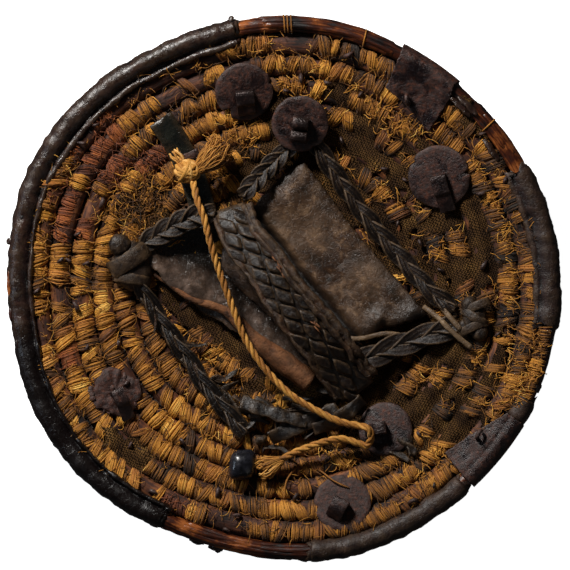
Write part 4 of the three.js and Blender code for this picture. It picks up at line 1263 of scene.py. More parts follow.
def iron_roundel(fixing):
    """A beaten disc with a worn, bitten edge."""
    radius = fixing["radius"]
    profile = [(0, 0), *((radius * s, 0) for s in (0.25, 0.5, 0.7, 0.85, 0.95)), (radius, 0.4), (radius, 1.3),
               *((radius * s, 1.8) for s in (0.97, 0.85, 0.7, 0.5, 0.25)), (0, 1.8)]
    bm = turned(profile, 72)
    for vert in bm.verts:
        reach = math.hypot(vert.co.x, vert.co.y)
        if reach < 0.01:
            continue
        angle = math.degrees(math.atan2(vert.co.y, vert.co.x)) % 360
        shrink = 0.5 * rough(vert.co * 1.0 + Vector((0, 0, fixing["turn"])), 6, 3) * (reach / radius) ** 4
        for middle, half, depth in fixing["bites"]:
            off = abs((angle - middle + 180) % 360 - 180)
            if off < half and reach > radius - depth - 4:
                shrink -= depth * (1 - off / half) * (reach / radius) ** 2
        vert.co.x += vert.co.x / reach * shrink
        vert.co.y += vert.co.y / reach * shrink
        vert.co.z += 0.5 * rough((vert.co.x, vert.co.y, fixing["turn"]), 13, 2) - 0.6 * (reach / radius) ** 3
    bmesh.ops.transform(bm, matrix=seat(*fixing["at"], fixing["lift"] + 0.4, 0), verts=bm.verts)
    metal = RUSTED_IRON if fixing["name"] in ("lower_left", "bottom") else IRON
    if fixing["name"] == "lower_left":
        crust = []
        for _ in range(110):
            lump = bmesh.new()
            bmesh.ops.create_icosphere(lump, subdivisions=2, radius=random.uniform(0.8, 2.2))
            bmesh.ops.scale(lump, vec=(1, 1, 0.4), verts=lump.verts)
            heading, reach = random.uniform(0, TURN), random.uniform(2, radius)
            spot = (fixing["at"][0] + reach * math.cos(heading), fixing["at"][1] + reach * math.sin(heading))
            bmesh.ops.transform(lump, matrix=seat(*spot, 1.2), verts=lump.verts)
            crust.append(lump)
        bm = merged([bm, *crust])
        pushed(bm, 1.2, 5, 4, 0.3)
        pushed(bm, 0.7, 1.8, 9, 0.3)
    return finish_bmesh("roundel_disc_" + fixing["name"], bm, metal, ["roundel_" + fixing["name"]])


def strap_pin(fixing):
    """Front head, post and the strap bent over the roundel, one forging."""
    top = fixing["lift"] + 1.8 + LAYER_GAP
    rise, length, half = top + fixing["rise"], fixing["length"], 1.2
    bend = 0.42 * length
    if fixing["curls"]:
        side = [(-half, -STACK), (half, -STACK), (half, top + 0.6), (-half, top + 0.6)]
    else:
        side = [(-half, -STACK), (half, -STACK), (half, rise - 3.6), (half + 1.2, rise - 2.6), (bend, rise - 2.7),
                (bend + 2, rise - 3.8), (length, top), (length + 1.6, top + 1.4), (bend + 3.6, rise - 1.7),
                (bend + 1.4, rise - 0.1), (1.6, rise + 0.5), (-half + 0.4, rise + 0.1), (-half, rise - 0.9)]
    upright = Matrix(((0, 0, 1, 0), (1, 0, 0, 0), (0, 1, 0, 0), (0, 0, 0, 1)))
    parts = [outline_prism(side, fixing["width"], 0.5, 2)]
    for along, up, size in fixing["curls"]:
        roll = [(along + math.cos(a) * size * (1 - 0.06 * a), top + up + math.sin(a) * size * (1 - 0.06 * a))
                for a in [-0.6 + i * 0.42 for i in range(15)]]
        parts.append(outline_prism(thick_line(roll, 1.5), fixing["width"] * 0.95, 0.25, 1))
    for part in parts:
        bmesh.ops.transform(part, matrix=upright, verts=part.verts)
    head = turned([(0, -3.2), (2.5, -3), (5, -2.3), (7, -1.2), (8, 0), (7.6, 0.4), (0, 0.4)], 28)
    bmesh.ops.translate(head, verts=head.verts, vec=(0, 0, -STACK - LAYER_GAP))
    bm = merged([*parts, head])
    bmesh.ops.subdivide_edges(bm, edges=[e for e in bm.edges if e.calc_length() > 2.5], cuts=2, use_grid_fill=True)
    pushed(bm, 0.4, 4, fixing["turn"] * 0.1, 0.15)
    bmesh.ops.transform(bm, matrix=seat(*fixing["at"], 0, fixing["turn"]), verts=bm.verts)
    return finish_bmesh("strap_pin_forged_" + fixing["name"], bm, RUBBED_IRON,
                        ["strap_pin_" + fixing["name"]])


for fixing in FIXINGS:
    iron_roundel(fixing)
    strap_pin(fixing)


def clinched(x, y, turn, size=1.0):
    """A nail's point bent down on the coils."""
    frame_here = seat(x, y, 1.0, turn)
    path = [(0, 0, -3), (0.2, 0, 0.9), (1.0, 0, 2.3), (2.6, 0, 2.4), (4.2, 0, 1.3), (5.0, 0, 0.3)]
    return {"points": [frame_here @ (Vector(p) * size) for p in path],
            "widths": [1.15 * size * s for s in (1, 1.05, 1.1, 1, 0.75, 0.45)]}


NAILS = [(-117.5, 57.9, 250), (-133.8, -14.3, 120), (-42, -130.9, 260), (40.7, 151, 30), (130.5, 12.4, 60),
         (87.6, -138, 200)]
SMALL_NAILS = [(93, 125), (85, 143), (75, 235), (62, 258), (88, 262), (34, 293), (117, 346), (85, 350), (301, 75),
               (325, 81), (362, 92), (284, 89), (341, 137), (404, 178), (480, 134), (507, 177), (399, 221),
               (444, 271), (501, 333), (131, 443), (150, 491), (240, 516), (224, 529), (294, 500), (434, 488),
               (418, 433), (485, 193), (264, 448), (70, 262), (231, 243), (128, 382), (180, 440), (420, 240), (388, 168)]


def iron_nails():
    for i, (x, y, turn) in enumerate(NAILS):
        tip = as_bmesh(swept([clinched(x, y, turn, 1.25)], None, 1.0, 8))
        head = turned([(0, -1.6), (1.8, -1.3), (3.4, -0.2), (3.6, 0), (0, 0)], 16)
        bmesh.ops.transform(head, matrix=seat(x, y, -STACK - LAYER_GAP, 0), verts=head.verts)
        bm = merged([tip, head])
        pushed(bm, 0.2, 2, i)
        finish_bmesh(f"clinched_nail_{i + 1}_iron", bm, IRON, [f"clinched_nail_{i + 1}"])
    lines = [clinched(*from_photo(px, py), random.uniform(0, 360), random.uniform(0.75, 1.1))
             for px, py in SMALL_NAILS]
    bm = as_bmesh(swept(lines, None, 1.0, 8))
    pushed(bm, 0.2, 2, 3)
    finish_bmesh("small_clinched_nails", bm, IRON)


iron_nails()


def turned_knob():
    """A polished black knob, worn to a rounded square."""
    profile = [(0, -STACK - LAYER_GAP - 3), (4, -STACK - LAYER_GAP - 2.6), (8, -STACK - LAYER_GAP),
               (3, -STACK - LAYER_GAP + 0.3), (3, 1.5), (5.2, 2.2), (7.6, 3.8), (8.7, 6.5), (8.6, 9), (7.6, 11.6),
               (5.6, 13.8), (3, 15), (0, 15.4)]
    bm = turned(profile, 48)
    for vert in bm.verts:
        if vert.co.z > 1.6:
            angle = math.atan2(vert.co.y, vert.co.x) - 0.5
            square = 1.0 + 0.13 * abs(math.sin(2 * angle)) ** 1.5
            vert.co.x *= square * 0.98
            vert.co.y *= square * 1.16
            vert.co.z *= 1 - 0.03 * (vert.co.x / 9)
    pushed(bm, 0.4, 7, 2)
    bmesh.ops.transform(bm, matrix=seat(-26.4, -116.5, 0, -25), verts=bm.verts)
    return finish_bmesh("turned_knob", bm, KNOB_BLACK, ["knob"])


turned_knob()


def iron_plate(name, outline, nodes, seed, thickness=1.5):
    """Sheet iron folded over the rim and lying on the coils, with a worn outline."""
    xs, ys = [p[0] for p in outline], [p[1] for p in outline]
    bm = bmesh.new()
    bmesh.ops.create_grid(bm, x_segments=80, y_segments=80, size=1.0)
    gone = []
    for vert in bm.verts:
        x = (min(xs) + max(xs)) / 2 + vert.co.x * (max(xs) - min(xs)) / 2
        y = (min(ys) + max(ys)) / 2 + vert.co.y * (max(ys) - min(ys)) / 2
        edge_x = x + 0.5 * rough((x, y, 0), 5, seed)
        edge_y = y + 0.5 * rough((x, y, 5), 5, seed)
        if not inside(outline, edge_x, edge_y):
            gone.append(vert)
            continue
        degrees = math.degrees(math.atan2(y, x))
        outward = math.hypot(x, y) - math.hypot(*on_rod(degrees).xy)
        # Past the rod's crest the sheet turns down round the rim.
        if outward > -4:
            angle = math.radians(122) - (outward + 4) / 7.6
            centre = on_rod(degrees)
            away = Vector((centre.x, centre.y, 0)).normalized()
            vert.co = centre + away * 7.4 * math.cos(angle) + UP * 7.4 * math.sin(angle)
        else:
            level = coil_top(x, y) + 3.4
            share = min(1.0, (-4 - outward) / 6)
            vert.co = Vector((x, y, (ROD_HEIGHT + 6.3) * (1 - share) + level * share))
        vert.co += UP * (0.6 * rough((x, y, 0), 9, seed) + 0.8 * rough((x, y, 0), 24, seed))
    bmesh.ops.delete(bm, geom=gone, context="VERTS")
    bmesh.ops.delete(bm, geom=[v for v in bm.verts if not v.link_faces], context="VERTS")
    for _ in range(2):
        bmesh.ops.smooth_vert(bm, verts=[v for v in bm.verts if v.is_boundary], factor=0.5,
                              use_axis_x=True, use_axis_y=True, use_axis_z=True)
    bmesh.ops.recalc_face_normals(bm, faces=bm.faces)
    bmesh.ops.solidify(bm, geom=bm.faces[:], thickness=thickness)
    pushed(bm, 0.15, 3, seed)
    return finish_bmesh(name, bm, IRON, nodes)


iron_plate("rim_plate_upper_sheet", UPPER_PLATE, ["rim_plate_upper"], 3)
iron_plate("rim_plate_lower_sheet", LOWER_PLATE, ["rim_plate_lower"], 8)


def curled_pin(name, x, y, turn, size, nodes):
    frame_here = seat(x, y, 3.6, turn)
    path = [(-size, 0, 0)] + [(-size * 0.95 * math.cos(a), 0, size + size * 0.95 * math.sin(a))
                              for a in (0, 0.6, 1.2, 1.9, 2.6, 3.2, 3.7)]
    line = {"points": [frame_here @ Vector(p) for p in path], "widths": [1.4, 1.4, 1.4, 1.4, 1.35, 1.3, 1.2, 1.0]}
    bm = as_bmesh(swept([line], None, 1.0, 8))
    pushed(bm, 0.2, 2, size)
    return finish_bmesh(name, bm, IRON, nodes)


curled_pin("rim_plate_upper_curl", 82, 124, 100, 3.4, ["rim_plate_upper_pin"])
curled_pin("rim_plate_lower_curl", 129, -96, 60, 3, ["rim_plate_lower_pin"])


# Handle

GRIP_POINTS = [(-34.5, 53.5, 31), (-27.3, 33.6, 41), (-13, 15.7, 45.5), (0.3, -4.4, 47), (18.3, -26, 45),
               (30, -41.8, 40.5), (41.5, -57.5, 32), (50, -69.5, 26)]
GRIP_SPINE = curve_through(GRIP_POINTS, 1.0)
GRIP_HALF = 13.5


def grip_place(across, along, lift):
    """A place on the grip by millimetres across and along it and above its middle."""
    top = len(GRIP_SPINE) - 1
    i = min(max(along, 0.0), top - 0.001)
    k = int(i)
    spot = GRIP_SPINE[k].lerp(GRIP_SPINE[k + 1], i - k)
    tangent = (GRIP_SPINE[min(k + 2, top)] - GRIP_SPINE[max(k - 1, 0)]).normalized()
    side = UP.cross(tangent).normalized()
    rise = tangent.cross(side)
    width = 0.82 + 0.26 * along / top
    crown = -1.6 * (across / GRIP_HALF) ** 2
    return spot + tangent * (along - i) + side * across * width + rise * (lift + crown)


TAB_WIDTH = 13.0
TAB_HEIGHT = 10.2


def grip_coordinates(x, y):
    """How far across and along the grip a spot in plan lies."""
    spot = Vector((x, y))
    near = min(range(len(GRIP_SPINE)), key=lambda k: (GRIP_SPINE[k].xy - spot).length_squared)
    ahead, behind = GRIP_SPINE[min(near + 1, len(GRIP_SPINE) - 1)].xy, GRIP_SPINE[max(near - 1, 0)].xy
    tangent = (ahead - behind).normalized()
    side = Vector((-tangent.y, tangent.x))
    away = spot - GRIP_SPINE[near].xy
    width = 0.82 + 0.26 * near / (len(GRIP_SPINE) - 1)
    return away.dot(side) / width, near + away.dot(tangent)


def plaited_grip():
    """Wide leather strips woven over and under: each crossing is a tab that dives under its neighbours."""
    length = len(GRIP_SPINE) - 1
    parts = [as_bmesh(swept([{"points": [grip_place(0, s, -2.2) for s in range(0, length + 1, 3)],
                              "widths": [0.82 + 0.26 * s / length for s in range(0, length + 1, 3)]}],
                            flat_section(2 * GRIP_HALF - 4, 2.0, 0.4)))]
    first, second = math.radians(-17), math.radians(-72)
    row = Vector((math.cos(first), math.sin(first))) * TAB_WIDTH
    column = Vector((math.cos(second), math.sin(second))) * TAB_HEIGHT
    start = GRIP_SPINE[0].xy
    for i in range(-9, 12):
        for j in range(-9, 18):
            middle = start + row * (i + 0.5) + column * (j + 0.5)
            across, along = grip_coordinates(middle.x, middle.y)
            if abs(across) > GRIP_HALF + 0.5 or not 1.5 < along < length - 1:
                continue
            own, other = (row, column) if (i + j) % 2 else (column, row)
            lift = 1.1 + random.uniform(-0.55, 0.55)
            lean, slope, twist = random.gauss(0, 0.5), random.gauss(0.35, 0.35), random.gauss(0, 0.05)
            long_half, wide_half = random.uniform(0.475, 0.515), random.uniform(0.42, 0.455)
            tab = bmesh.new()
            bmesh.ops.create_grid(tab, x_segments=12, y_segments=10, size=1.0)
            for vert in tab.verts:
                u, v = vert.co.x, vert.co.y
                corner = 1 - 0.09 * (u * v) ** 2
                away = own * (long_half * u * corner) + other * (wide_half * v * corner)
                spot = middle + Matrix.Rotation(twist, 2) @ away
                spot += Vector((rough((spot.x, spot.y, 1), 5, 6), rough((spot.x, spot.y, 4), 5, 8))) * 0.4
                across, along = grip_coordinates(spot.x, spot.y)
                across = max(-GRIP_HALF - 1.6, min(GRIP_HALF + 1, across))
                dive = 2.3 * abs(u) ** 4 + 0.3 * abs(v) ** 8
                wrinkle = 0.35 * rough((spot.x, spot.y, i + j), 3.0, 2)
                vert.co = grip_place(across, along, lift - dive + lean * v + slope * u + wrinkle)
            bmesh.ops.dissolve_degenerate(tab, dist=0.05, edges=tab.edges)
            made = bmesh.ops.extrude_face_region(tab, geom=tab.faces[:])
            under = [item for item in made["geom"] if isinstance(item, bmesh.types.BMVert)]
            bmesh.ops.translate(tab, verts=under, vec=(0, 0, -1.5))
            parts.append(tab)
    bm = merged(parts)
    pushed(bm, 0.12, 3.0, 6)
    return finish_bmesh("plaited_grip", bm, GRIP_LEATHER, ["grip_plait"], join=0.002)


plaited_grip()


def grip_edges():
    """The worn strands that close the grip's sides."""
    length = len(GRIP_SPINE) - 1
    lines = []
    for side, lift, width in ((GRIP_HALF + 0.2, 0.9, 1.5), (-GRIP_HALF + 0.6, -0.6, 0.9), (GRIP_HALF - 3, 1.8, 0.8)):
        run = [3 + s for s in range(0, length - 8, 2)]
        points = [grip_place(side + 1.5 * rough((s, side, 0), 7, 3), s, lift + 1.0 * rough((s, 0, side), 6, 2))
                  for s in run]
        tilts = [(0.5 if side > 0 else -0.5) + 0.4 * rough((s, side, 8), 12, 3) for s in run]
        lines.append({"points": points, "tilts": tilts,
                      "widths": [width * (1 + 0.3 * rough((s, side, 1), 6, 4)) for s in run]})
    shreds = []
    for s in range(8, length - 8, 5):
        start = grip_place(GRIP_HALF, s, 1.5)
        end = grip_place(GRIP_HALF + random.uniform(-2, 3), s + random.uniform(4, 8), random.uniform(1.5, 3.4))
        shreds.append({"points": [start, start.lerp(end, 0.5) + UP * 0.8, end], "widths": [0.4, 0.5, 0.2]})
    bm = as_bmesh(swept(lines + shreds, flat_section(4.6, 2.4, 0.5)))
    pushed(bm, 0.5, 3, 2, 0.25)
    return finish_bmesh("grip_edge_strands", bm, BROWN_STRAP, join=0.002)


grip_edges()


def grip_tears():
    """Orange-brown frays where the grip's edge has worn through."""
    lines = []
    for px, py, count in ((277, 260, 9), (281, 268, 8), (315, 323, 7), (343, 335, 8)):
        across, along = grip_coordinates(*from_photo(px, py))
        for _ in range(count):
            side, run = across + random.gauss(0, 1.0), along + random.gauss(0, 1.8)
            reach = random.uniform(3.0, 7.0)
            start, middle, end = [grip_place(side + random.gauss(0, 0.5), run + reach * t, 2.0 + 0.8 * t * (1 - t) * 4)
                                  for t in (0.0, 0.5, 1.0)]
            lines.append({"points": [start, middle, end], "widths": [0.3, 0.55, 0.2],
                          "tilts": [random.uniform(-0.6, 0.6)] * 3})
    bm = as_bmesh(swept(lines, flat_section(1.9, 0.6, 0.15)))
    pushed(bm, 0.2, 2, 2)
    return finish_bmesh("grip_edge_tears", bm, ORANGE_HIDE, join=0.002)


grip_tears()


def plait(points, strips, strip_width, reach, wave, thickness=1.5, phase=0.0, lift=1.0):
    """Flat strips laid over and under each other along a line."""
    middle = curve_through(points, 1.4)
    lines = []
    runs = [0.0]
    for a, b in zip(middle, middle[1:]):
        runs.append(runs[-1] + (b - a).length)
    for k in range(strips):
        strip, tilts, widths = [], [], []
        for i, place in enumerate(middle):
            tangent = (middle[min(i + 1, len(middle) - 1)] - middle[max(i - 1, 0)]).normalized()
            side = UP.cross(tangent).normalized()
            rise = tangent.cross(side)
            turn = TURN * (runs[i] / wave + k / strips) + phase
            ends = min(1.0, i / 4, (len(middle) - 1 - i) / 4)
            spread = reach * math.sin(turn) * (0.6 + 0.4 * ends)
            strip.append(place + side * spread + rise * lift * math.sin(2 * turn))
            tilts.append(0.4 * math.cos(turn) + 0.22 * rough((runs[i], k, 0), 9, 2))
            widths.append((1 + 0.22 * rough((runs[i], k, 3), 10, 5)) * (0.8 + 0.2 * ends))
        lines.append({"points": strip, "tilts": tilts, "widths": widths})
    a, b = strip_width / 2, thickness / 2
    section = [(-a, -b * 0.6), (-a * 0.8, -b), (0, -b), (a * 0.8, -b), (a, -b * 0.6), (a, b * 0.7), (a * 0.86, b * 1.3),
               (a * 0.62, b * 0.9), (a * 0.2, b * 0.75), (0, b * 1.15), (-a * 0.2, b * 0.75), (-a * 0.62, b * 0.9),
               (-a * 0.86, b * 1.3), (-a, b * 0.7)]
    return as_bmesh(swept(lines, section))


def handle_braid(name, bms, nodes, seed=1.0, material=None):
    bm = merged(bms)
    pushed(bm, 0.3, 4, seed, 0.12)
    return finish_bmesh(name, bm, material or STRAP_LEATHER, nodes, join=0.002)


TOP_TO_RIGHT = [(18, 99, 27), (37.4, 70.3, 23.5), (53.7, 47.5, 22), (73.2, 24.7, 22), (96, -1.3, 25), (112, -14, 27)]
LEFT_TO_BOTTOM = [(-94, 4, 26), (-79.7, -20.8, 22.5), (-63.5, -43.6, 22), (-50.5, -63.1, 22.5),
                  (-37.4, -79.4, 24), (-24.4, -95.7, 25.5)]
handle_braid("braid_top_to_right_strips", [plait(TOP_TO_RIGHT, 3, 6.2, 3.5, 54, 2.0, lift=1.7)], ["braid_top_to_right"], 2)
handle_braid("braid_top_to_grip_strips",
             [plait([(9, 96, 26), (-8, 80, 26), (-18, 69, 29.5), (-27, 60, 31)], 3, 6.2, 3.6, 30)],
             ["braid_top_to_grip"], 4)
handle_braid("braid_left_to_grip_strips",
             [plait([(-92, 28, 26), (-70, 41, 27), (-58, 46.5, 29.5), (-44, 50, 31.5)], 3, 7.0, 4.4, 34)],
             ["braid_left_to_grip"], 6)
handle_braid("braid_left_to_bottom_strips", [plait(LEFT_TO_BOTTOM, 3, 5.4, 3.4, 70, 1.7, lift=2.2)],
             ["braid_left_to_bottom"], 8, DARK_STRAP)
handle_braid("braid_grip_to_right_strips",
             [plait([(40, -56, 27), (56, -46, 26), (76, -37.5, 24.5), (94, -31, 26), (114, -24, 28)], 3, 7.8, 4.6, 64)],
             ["braid_grip_to_right"], 9)
handle_braid("pale_strands", [as_bmesh(swept([
    {"points": curve_through(over([(92, -12, 6), (102, -20, 8.5), (112, -30, 8.5), (123, -39, 6)]), 2.0)},
    {"points": curve_through(over([(38, -33, 5), (52, -33, 6.5), (66, -30, 6.5), (78, -31, 5)]), 2.0)},
    {"points": curve_through(over([(100, -8, 6), (108, -18, 9), (116, -27, 9)]), 2.0)}],
    flat_section(3.4, 1.6, 0.4)))], [], 5, PALE_STRAP)


def wrapped_corner(name, centre, turn, lobes, bands, nodes, seed):
    """A handle corner: wide strips bound round the fastening, with lumps, a rivet and loose ends.

    A lobe is x, y, z and its three half sizes; a band is its y, half width, tilt and reach.
    """
    parts = []
    for x, y, z, half_x, half_y, half_z in lobes:
        lobe = bmesh.new()
        bmesh.ops.create_icosphere(lobe, subdivisions=4, radius=1.0)
        bmesh.ops.scale(lobe, vec=(half_x, half_y, half_z), verts=lobe.verts)
        bmesh.ops.translate(lobe, vec=(x, y, z), verts=lobe.verts)
        pushed(lobe, 0.7, 8, seed + x, 0.15)
        parts.append(lobe)
    strips = []
    for y, half, tilt, reach in bands:
        points = []
        for k in range(15):
            angle = math.radians(-20 + 220 * k / 14)
            points.append(Vector((reach * math.cos(angle), y + tilt * math.cos(angle) * 6,
                                  reach * 0.62 * math.sin(angle) - 1)))
        strips.append({"points": points, "widths": [half * (1 + 0.15 * rough(p, 5, seed)) for p in points],
                       "tilts": [0.2 * rough(p, 6, seed) for p in points]})
    parts.append(as_bmesh(swept(strips, flat_section(2.0, 0.34, 0.12))))
    bm = merged(parts)
    pushed(bm, 0.35, 3, seed)
    bmesh.ops.transform(bm, matrix=seat(*centre, 6.0, turn), verts=bm.verts)
    return finish_bmesh(name, bm, STRAP_LEATHER, nodes, join=0.002)


wrapped_corner("handle_corner_left_wrap", (-101, 19), 10,
               [(1.5, -5, 0, 12.6, 17, 6.2), (-5, 10, 1.5, 7.4, 7.6, 5.2), (-8, -6, -2, 5, 10, 4), (6, -17, -1, 4.5, 9, 3.6),
                (5, -3, 6.2, 1.9, 1.5, 0.9)],
               [(0, 5.6, 0.9, 12.8), (-13, 3.4, -0.6, 11.0)],
               ["handle_corner_left"], 3)
wrapped_corner("handle_corner_right_wrap", (126, -20), -10,
               [(0, 0, -1, 7.5, 11, 4.6), (-5, 8, -0.5, 5, 6, 4.4), (5, -8, -1, 5, 6, 4), (-6, -8, -1.5, 4, 7, 3.4)],
               [(8, 3.0, 0.8, 7.8), (1, 2.8, -0.6, 8.6), (-6, 3.0, 0.9, 8.0)], ["handle_corner_right"], 5)


# Pad

def hand_pad():
    """The flat leather pad under the grip: a crowned, creased envelope."""
    bm = bmesh.new()
    outline = curve_through([(x, y, 0) for x, y in PAD_OUTLINE + PAD_OUTLINE[:1]], 2.5)[:-1]
    bmesh.ops.create_grid(bm, x_segments=90, y_segments=86, size=1.0)
    plan = [(p.x, p.y) for p in outline]
    gone = []
    for vert in bm.verts:
        x, y = 26.5 + vert.co.x * 70, 20 + vert.co.y * 66
        if not inside(plan, x, y):
            gone.append(vert)
            continue
        vert.co = Vector((x, y, 0))
    bmesh.ops.delete(bm, geom=gone, context="VERTS")
    for _ in range(3):
        bmesh.ops.smooth_vert(bm, verts=[v for v in bm.verts if v.is_boundary], factor=0.5,
                              use_axis_x=True, use_axis_y=True)
    made = bmesh.ops.extrude_face_region(bm, geom=bm.faces[:])
    top = {v for v in made["geom"] if isinstance(v, bmesh.types.BMVert)}
    for vert in bm.verts:
        x, y = vert.co.x, vert.co.y
        edge = min(math.hypot(x - px, y - py) for px, py in plan)
        crown = 1 - math.exp(-edge / 5)
        along, across = 0.72 * x - 0.69 * y, 0.69 * x + 0.72 * y
        crease = abs(rough((along, across * 2.2, 0), 17, 3)) ** 0.6
        fold = rough((along, across * 1.6, 0), 34, 5)
        if vert in top:
            vert.co.z = coil_top(x, y) + 3.0 + 5.4 * crown + 1.4 * fold * crown - 0.8 * (1 - crease) ** 3 * crown
            corner = math.hypot(x - 80, y + 24)
            vert.co.z += 3.6 * math.exp(-(corner / 24) ** 2) * rough((x, y, 0), 13, 6)
            ridge = math.hypot(x - 63, y + 20)
            vert.co.z += 3.4 * math.exp(-(ridge / 6) ** 2) + 1.8 * math.exp(-(math.hypot(x - 4, y - 58) / 9) ** 2)
            # The valley beside the grip, and the lip beyond it.
            beside, run = grip_coordinates(x, y)
            if run > 14:
                vert.co.z -= 4.6 * math.exp(-((beside - 18.5) / 3.0) ** 2)
                vert.co.z += 1.3 * math.exp(-((beside - 25) / 4.0) ** 2)
            # Down to the worn slit beside the lower corner.
            vert.co.z -= 5.6 * math.exp(-((x - 66) / 2.4) ** 2 - ((y + 30) / 7) ** 2)
        else:
            vert.co.z = coil_top(x, y) + 1.6
    piece = finish_bmesh("hand_pad_leather", bm, PAD_SKIN, ["hand_pad"])
    soil_and_shade = piece.data.attributes.new("soil_and_shade", "FLOAT", "POINT")
    for i, vert in enumerate(piece.data.vertices):
        x, y = vert.co.x / TO_METRES, vert.co.y / TO_METRES
        # The pad is also painted darker near its outline and towards the lower right.
        edge = min(math.hypot(x - px, y - py) for px, py in plan)
        lower = max(0.0, min(1.0, (0.6 * (x - 26) - 0.5 * (y - 20) - 30) / 24))
        # Painted shadow: the fold beside the grip is painted black as the shade it lies in.
        fold = 0.95 * math.exp(-((grip_coordinates(x, y)[0] - 18.0) / 4.2) ** 2)
        soil_and_shade.data[i].value = min(0.95, max(0.8 * math.exp(-edge / 5), 0.7 * lower, fold) + 0.25 * rough((x, y, 0), 16, 2))
    smooth = piece.modifiers.new("soft_edges", "SUBSURF")
    smooth.levels = smooth.render_levels = 1
    return piece


hand_pad()

# The flap's crest and outline, read as photograph pixels.
FLAP_CREST = [(146, 262), (170, 276), (195, 287), (216, 300), (238, 322), (268, 345), (300, 372)]
FLAP_SKIN_OUTLINE = [from_photo(px, py) for px, py in (
    (134, 250), (150, 240), (182, 230), (214, 218), (236, 246), (262, 292), (312, 362), (318, 380), (300, 388),
    (262, 358), (238, 338), (212, 320), (190, 306), (168, 288), (150, 270))]


def torn_flap():
    """The torn skin of the pad: it sags toward the middle, crests and rolls up along its lower edge."""
    crest = curve_through([(x, y, 0) for x, y in (from_photo(px, py) for px, py in FLAP_CREST)], 2.0)
    bm = bmesh.new()
    bmesh.ops.create_grid(bm, x_segments=110, y_segments=100, size=1.0)
    gone = []
    for vert in bm.verts:
        x, y = -36 + vert.co.x * 60, -8 + vert.co.y * 56
        if not inside(FLAP_SKIN_OUTLINE, x + 1.5 * rough((x, y, 0), 9, 2), y + 1.5 * rough((x, y, 4), 9, 2)):
            gone.append(vert)
            continue
        near = min(math.hypot(x - p.x, y - p.y) for p in crest)
        swell = math.exp(-(near / 11) ** 2)
        rise = 2.6 + 5.6 * swell + 1.2 * rough((x, y, 0), 18, 4) + 0.5 * rough((x, y, 0), 6, 2)
        vert.co = Vector((x, y, coil_top(x, y) + rise))
    bmesh.ops.delete(bm, geom=gone, context="VERTS")
    bmesh.ops.delete(bm, geom=[v for v in bm.verts if not v.link_faces], context="VERTS")
    for _ in range(3):
        bmesh.ops.smooth_vert(bm, verts=[v for v in bm.verts if v.is_boundary], factor=0.5,
                              use_axis_x=True, use_axis_y=True, use_axis_z=True)
    bmesh.ops.recalc_face_normals(bm, faces=bm.faces)
    bmesh.ops.solidify(bm, geom=bm.faces[:], thickness=1.4)
    pushed(bm, 0.25, 4, 1)
    piece = finish_bmesh("torn_flap_skin", bm, FLAP_SKIN, ["hand_pad_torn_flap"])
    # Painted shadow: the skin is painted darker away from its crest, up under the braid, as the shade the braid throws
    # on it.
    soil_and_shade = piece.data.attributes.new("soil_and_shade", "FLOAT", "POINT")
    for i, vert in enumerate(piece.data.vertices):
        x, y = vert.co.x / TO_METRES, vert.co.y / TO_METRES
        near = min(math.hypot(x - p.x, y - p.y) for p in crest)
        soil_and_shade.data[i].value = max(0.0, min(0.95, (near - 7) / 9 + 0.2 * rough((x, y, 0), 12, 3)))
    spiral = [(math.cos(a) * (7.6 - 0.9 * a / 2), math.sin(a) * (7.6 - 0.9 * a / 2))
              for a in [i * 0.42 for i in range(17)]]
    path = curve_through([(-84, 9, 21), (-72, 1, 20.5), (-60, -7, 21), (-47, -11, 21.5), (-36, -16, 21.5),
                          (-26, -25, 22), (-12, -38, 22.5), (4, -50, 23), (19, -61, 23)], 2.0)
    swell = [min(1.0, 0.16 + 1.15 * (i / len(path)) ** 1.7) * (1 + 0.08 * rough(path[i], 12, 3))
             for i in range(len(path))]
    bm = as_bmesh(swept([{"points": path, "widths": swell, "tilts": [0.3 * rough(p, 30, 1) for p in path]}],
                        thick_line(spiral, 1.3)))
    pushed(bm, 0.8, 9, 2, 0.25)
    finish_bmesh("torn_flap_roll", bm, ROLLED_SKIN, join=0.002)


torn_flap()


# Straps and scraps

def flat_strap():
    places = over([(-79.7, 110, 3.2), (-70, 96, 3.6), (-61.5, 79, 3.4), (-55, 62, 3.2), (-51, 46, 4.0)])
    line = curve_through(places, 2.5)
    bm = as_bmesh(swept([{"points": line, "tilts": [0.05 * rough(p, 12, 2) for p in line]}],
                        flat_section(17, 2.6, 0.15)))
    pushed(bm, 0.3, 6, 7, 0.1)
    finish_bmesh("flat_strap_leather", bm, WAXED_STRAP, ["flat_strap"], join=0.002)
    arch = [(-5.2, 0), (-5.2, 3.4), (-4.4, 4.4), (4.4, 4.4), (5.2, 3.4), (5.2, 0), (3, 0), (3, 2.2), (-3, 2.2), (-3, 0)]
    staple = outline_prism(arch, 5, 0.35, 2)
    bmesh.ops.rotate(staple, matrix=Matrix.Rotation(math.pi / 2, 3, "X"), verts=staple.verts)
    bmesh.ops.transform(staple, matrix=seat(-60, 88, 5.4, 25), verts=staple.verts)
    finish_bmesh("strap_staple_iron", staple, IRON, ["strap_staple"])


flat_strap()


def shred(start, heading, length, width, lift, seed):
    """A torn strip that twists and curls as it goes."""
    x, y = start
    points, tilts, widths = [], [], []
    count = max(5, round(length / 1.6))
    bend = rough((seed, 1, 0), 1, 2) * 0.12
    for i in range(count):
        share = i / (count - 1)
        points.append(Vector((x, y, coil_top(x, y) + lift + 2.6 * rough((x, y, seed), 8, 3) * share)))
        tilts.append(0.9 * math.sin(seed + share * (2 + 1.5 * rough((seed, 5, 0), 1, 1))))
        widths.append((0.55 + 0.5 * math.sin(math.pi * min(1, 0.15 + share))) * (1 + 0.2 * rough((x, y, seed), 4, 4)))
        heading += bend + 0.25 * rough((x, y, seed), 6, 7)
        x += math.cos(heading) * 1.6
        y += math.sin(heading) * 1.6
    return {"points": points, "tilts": tilts, "widths": [w * width / 6 for w in widths]}


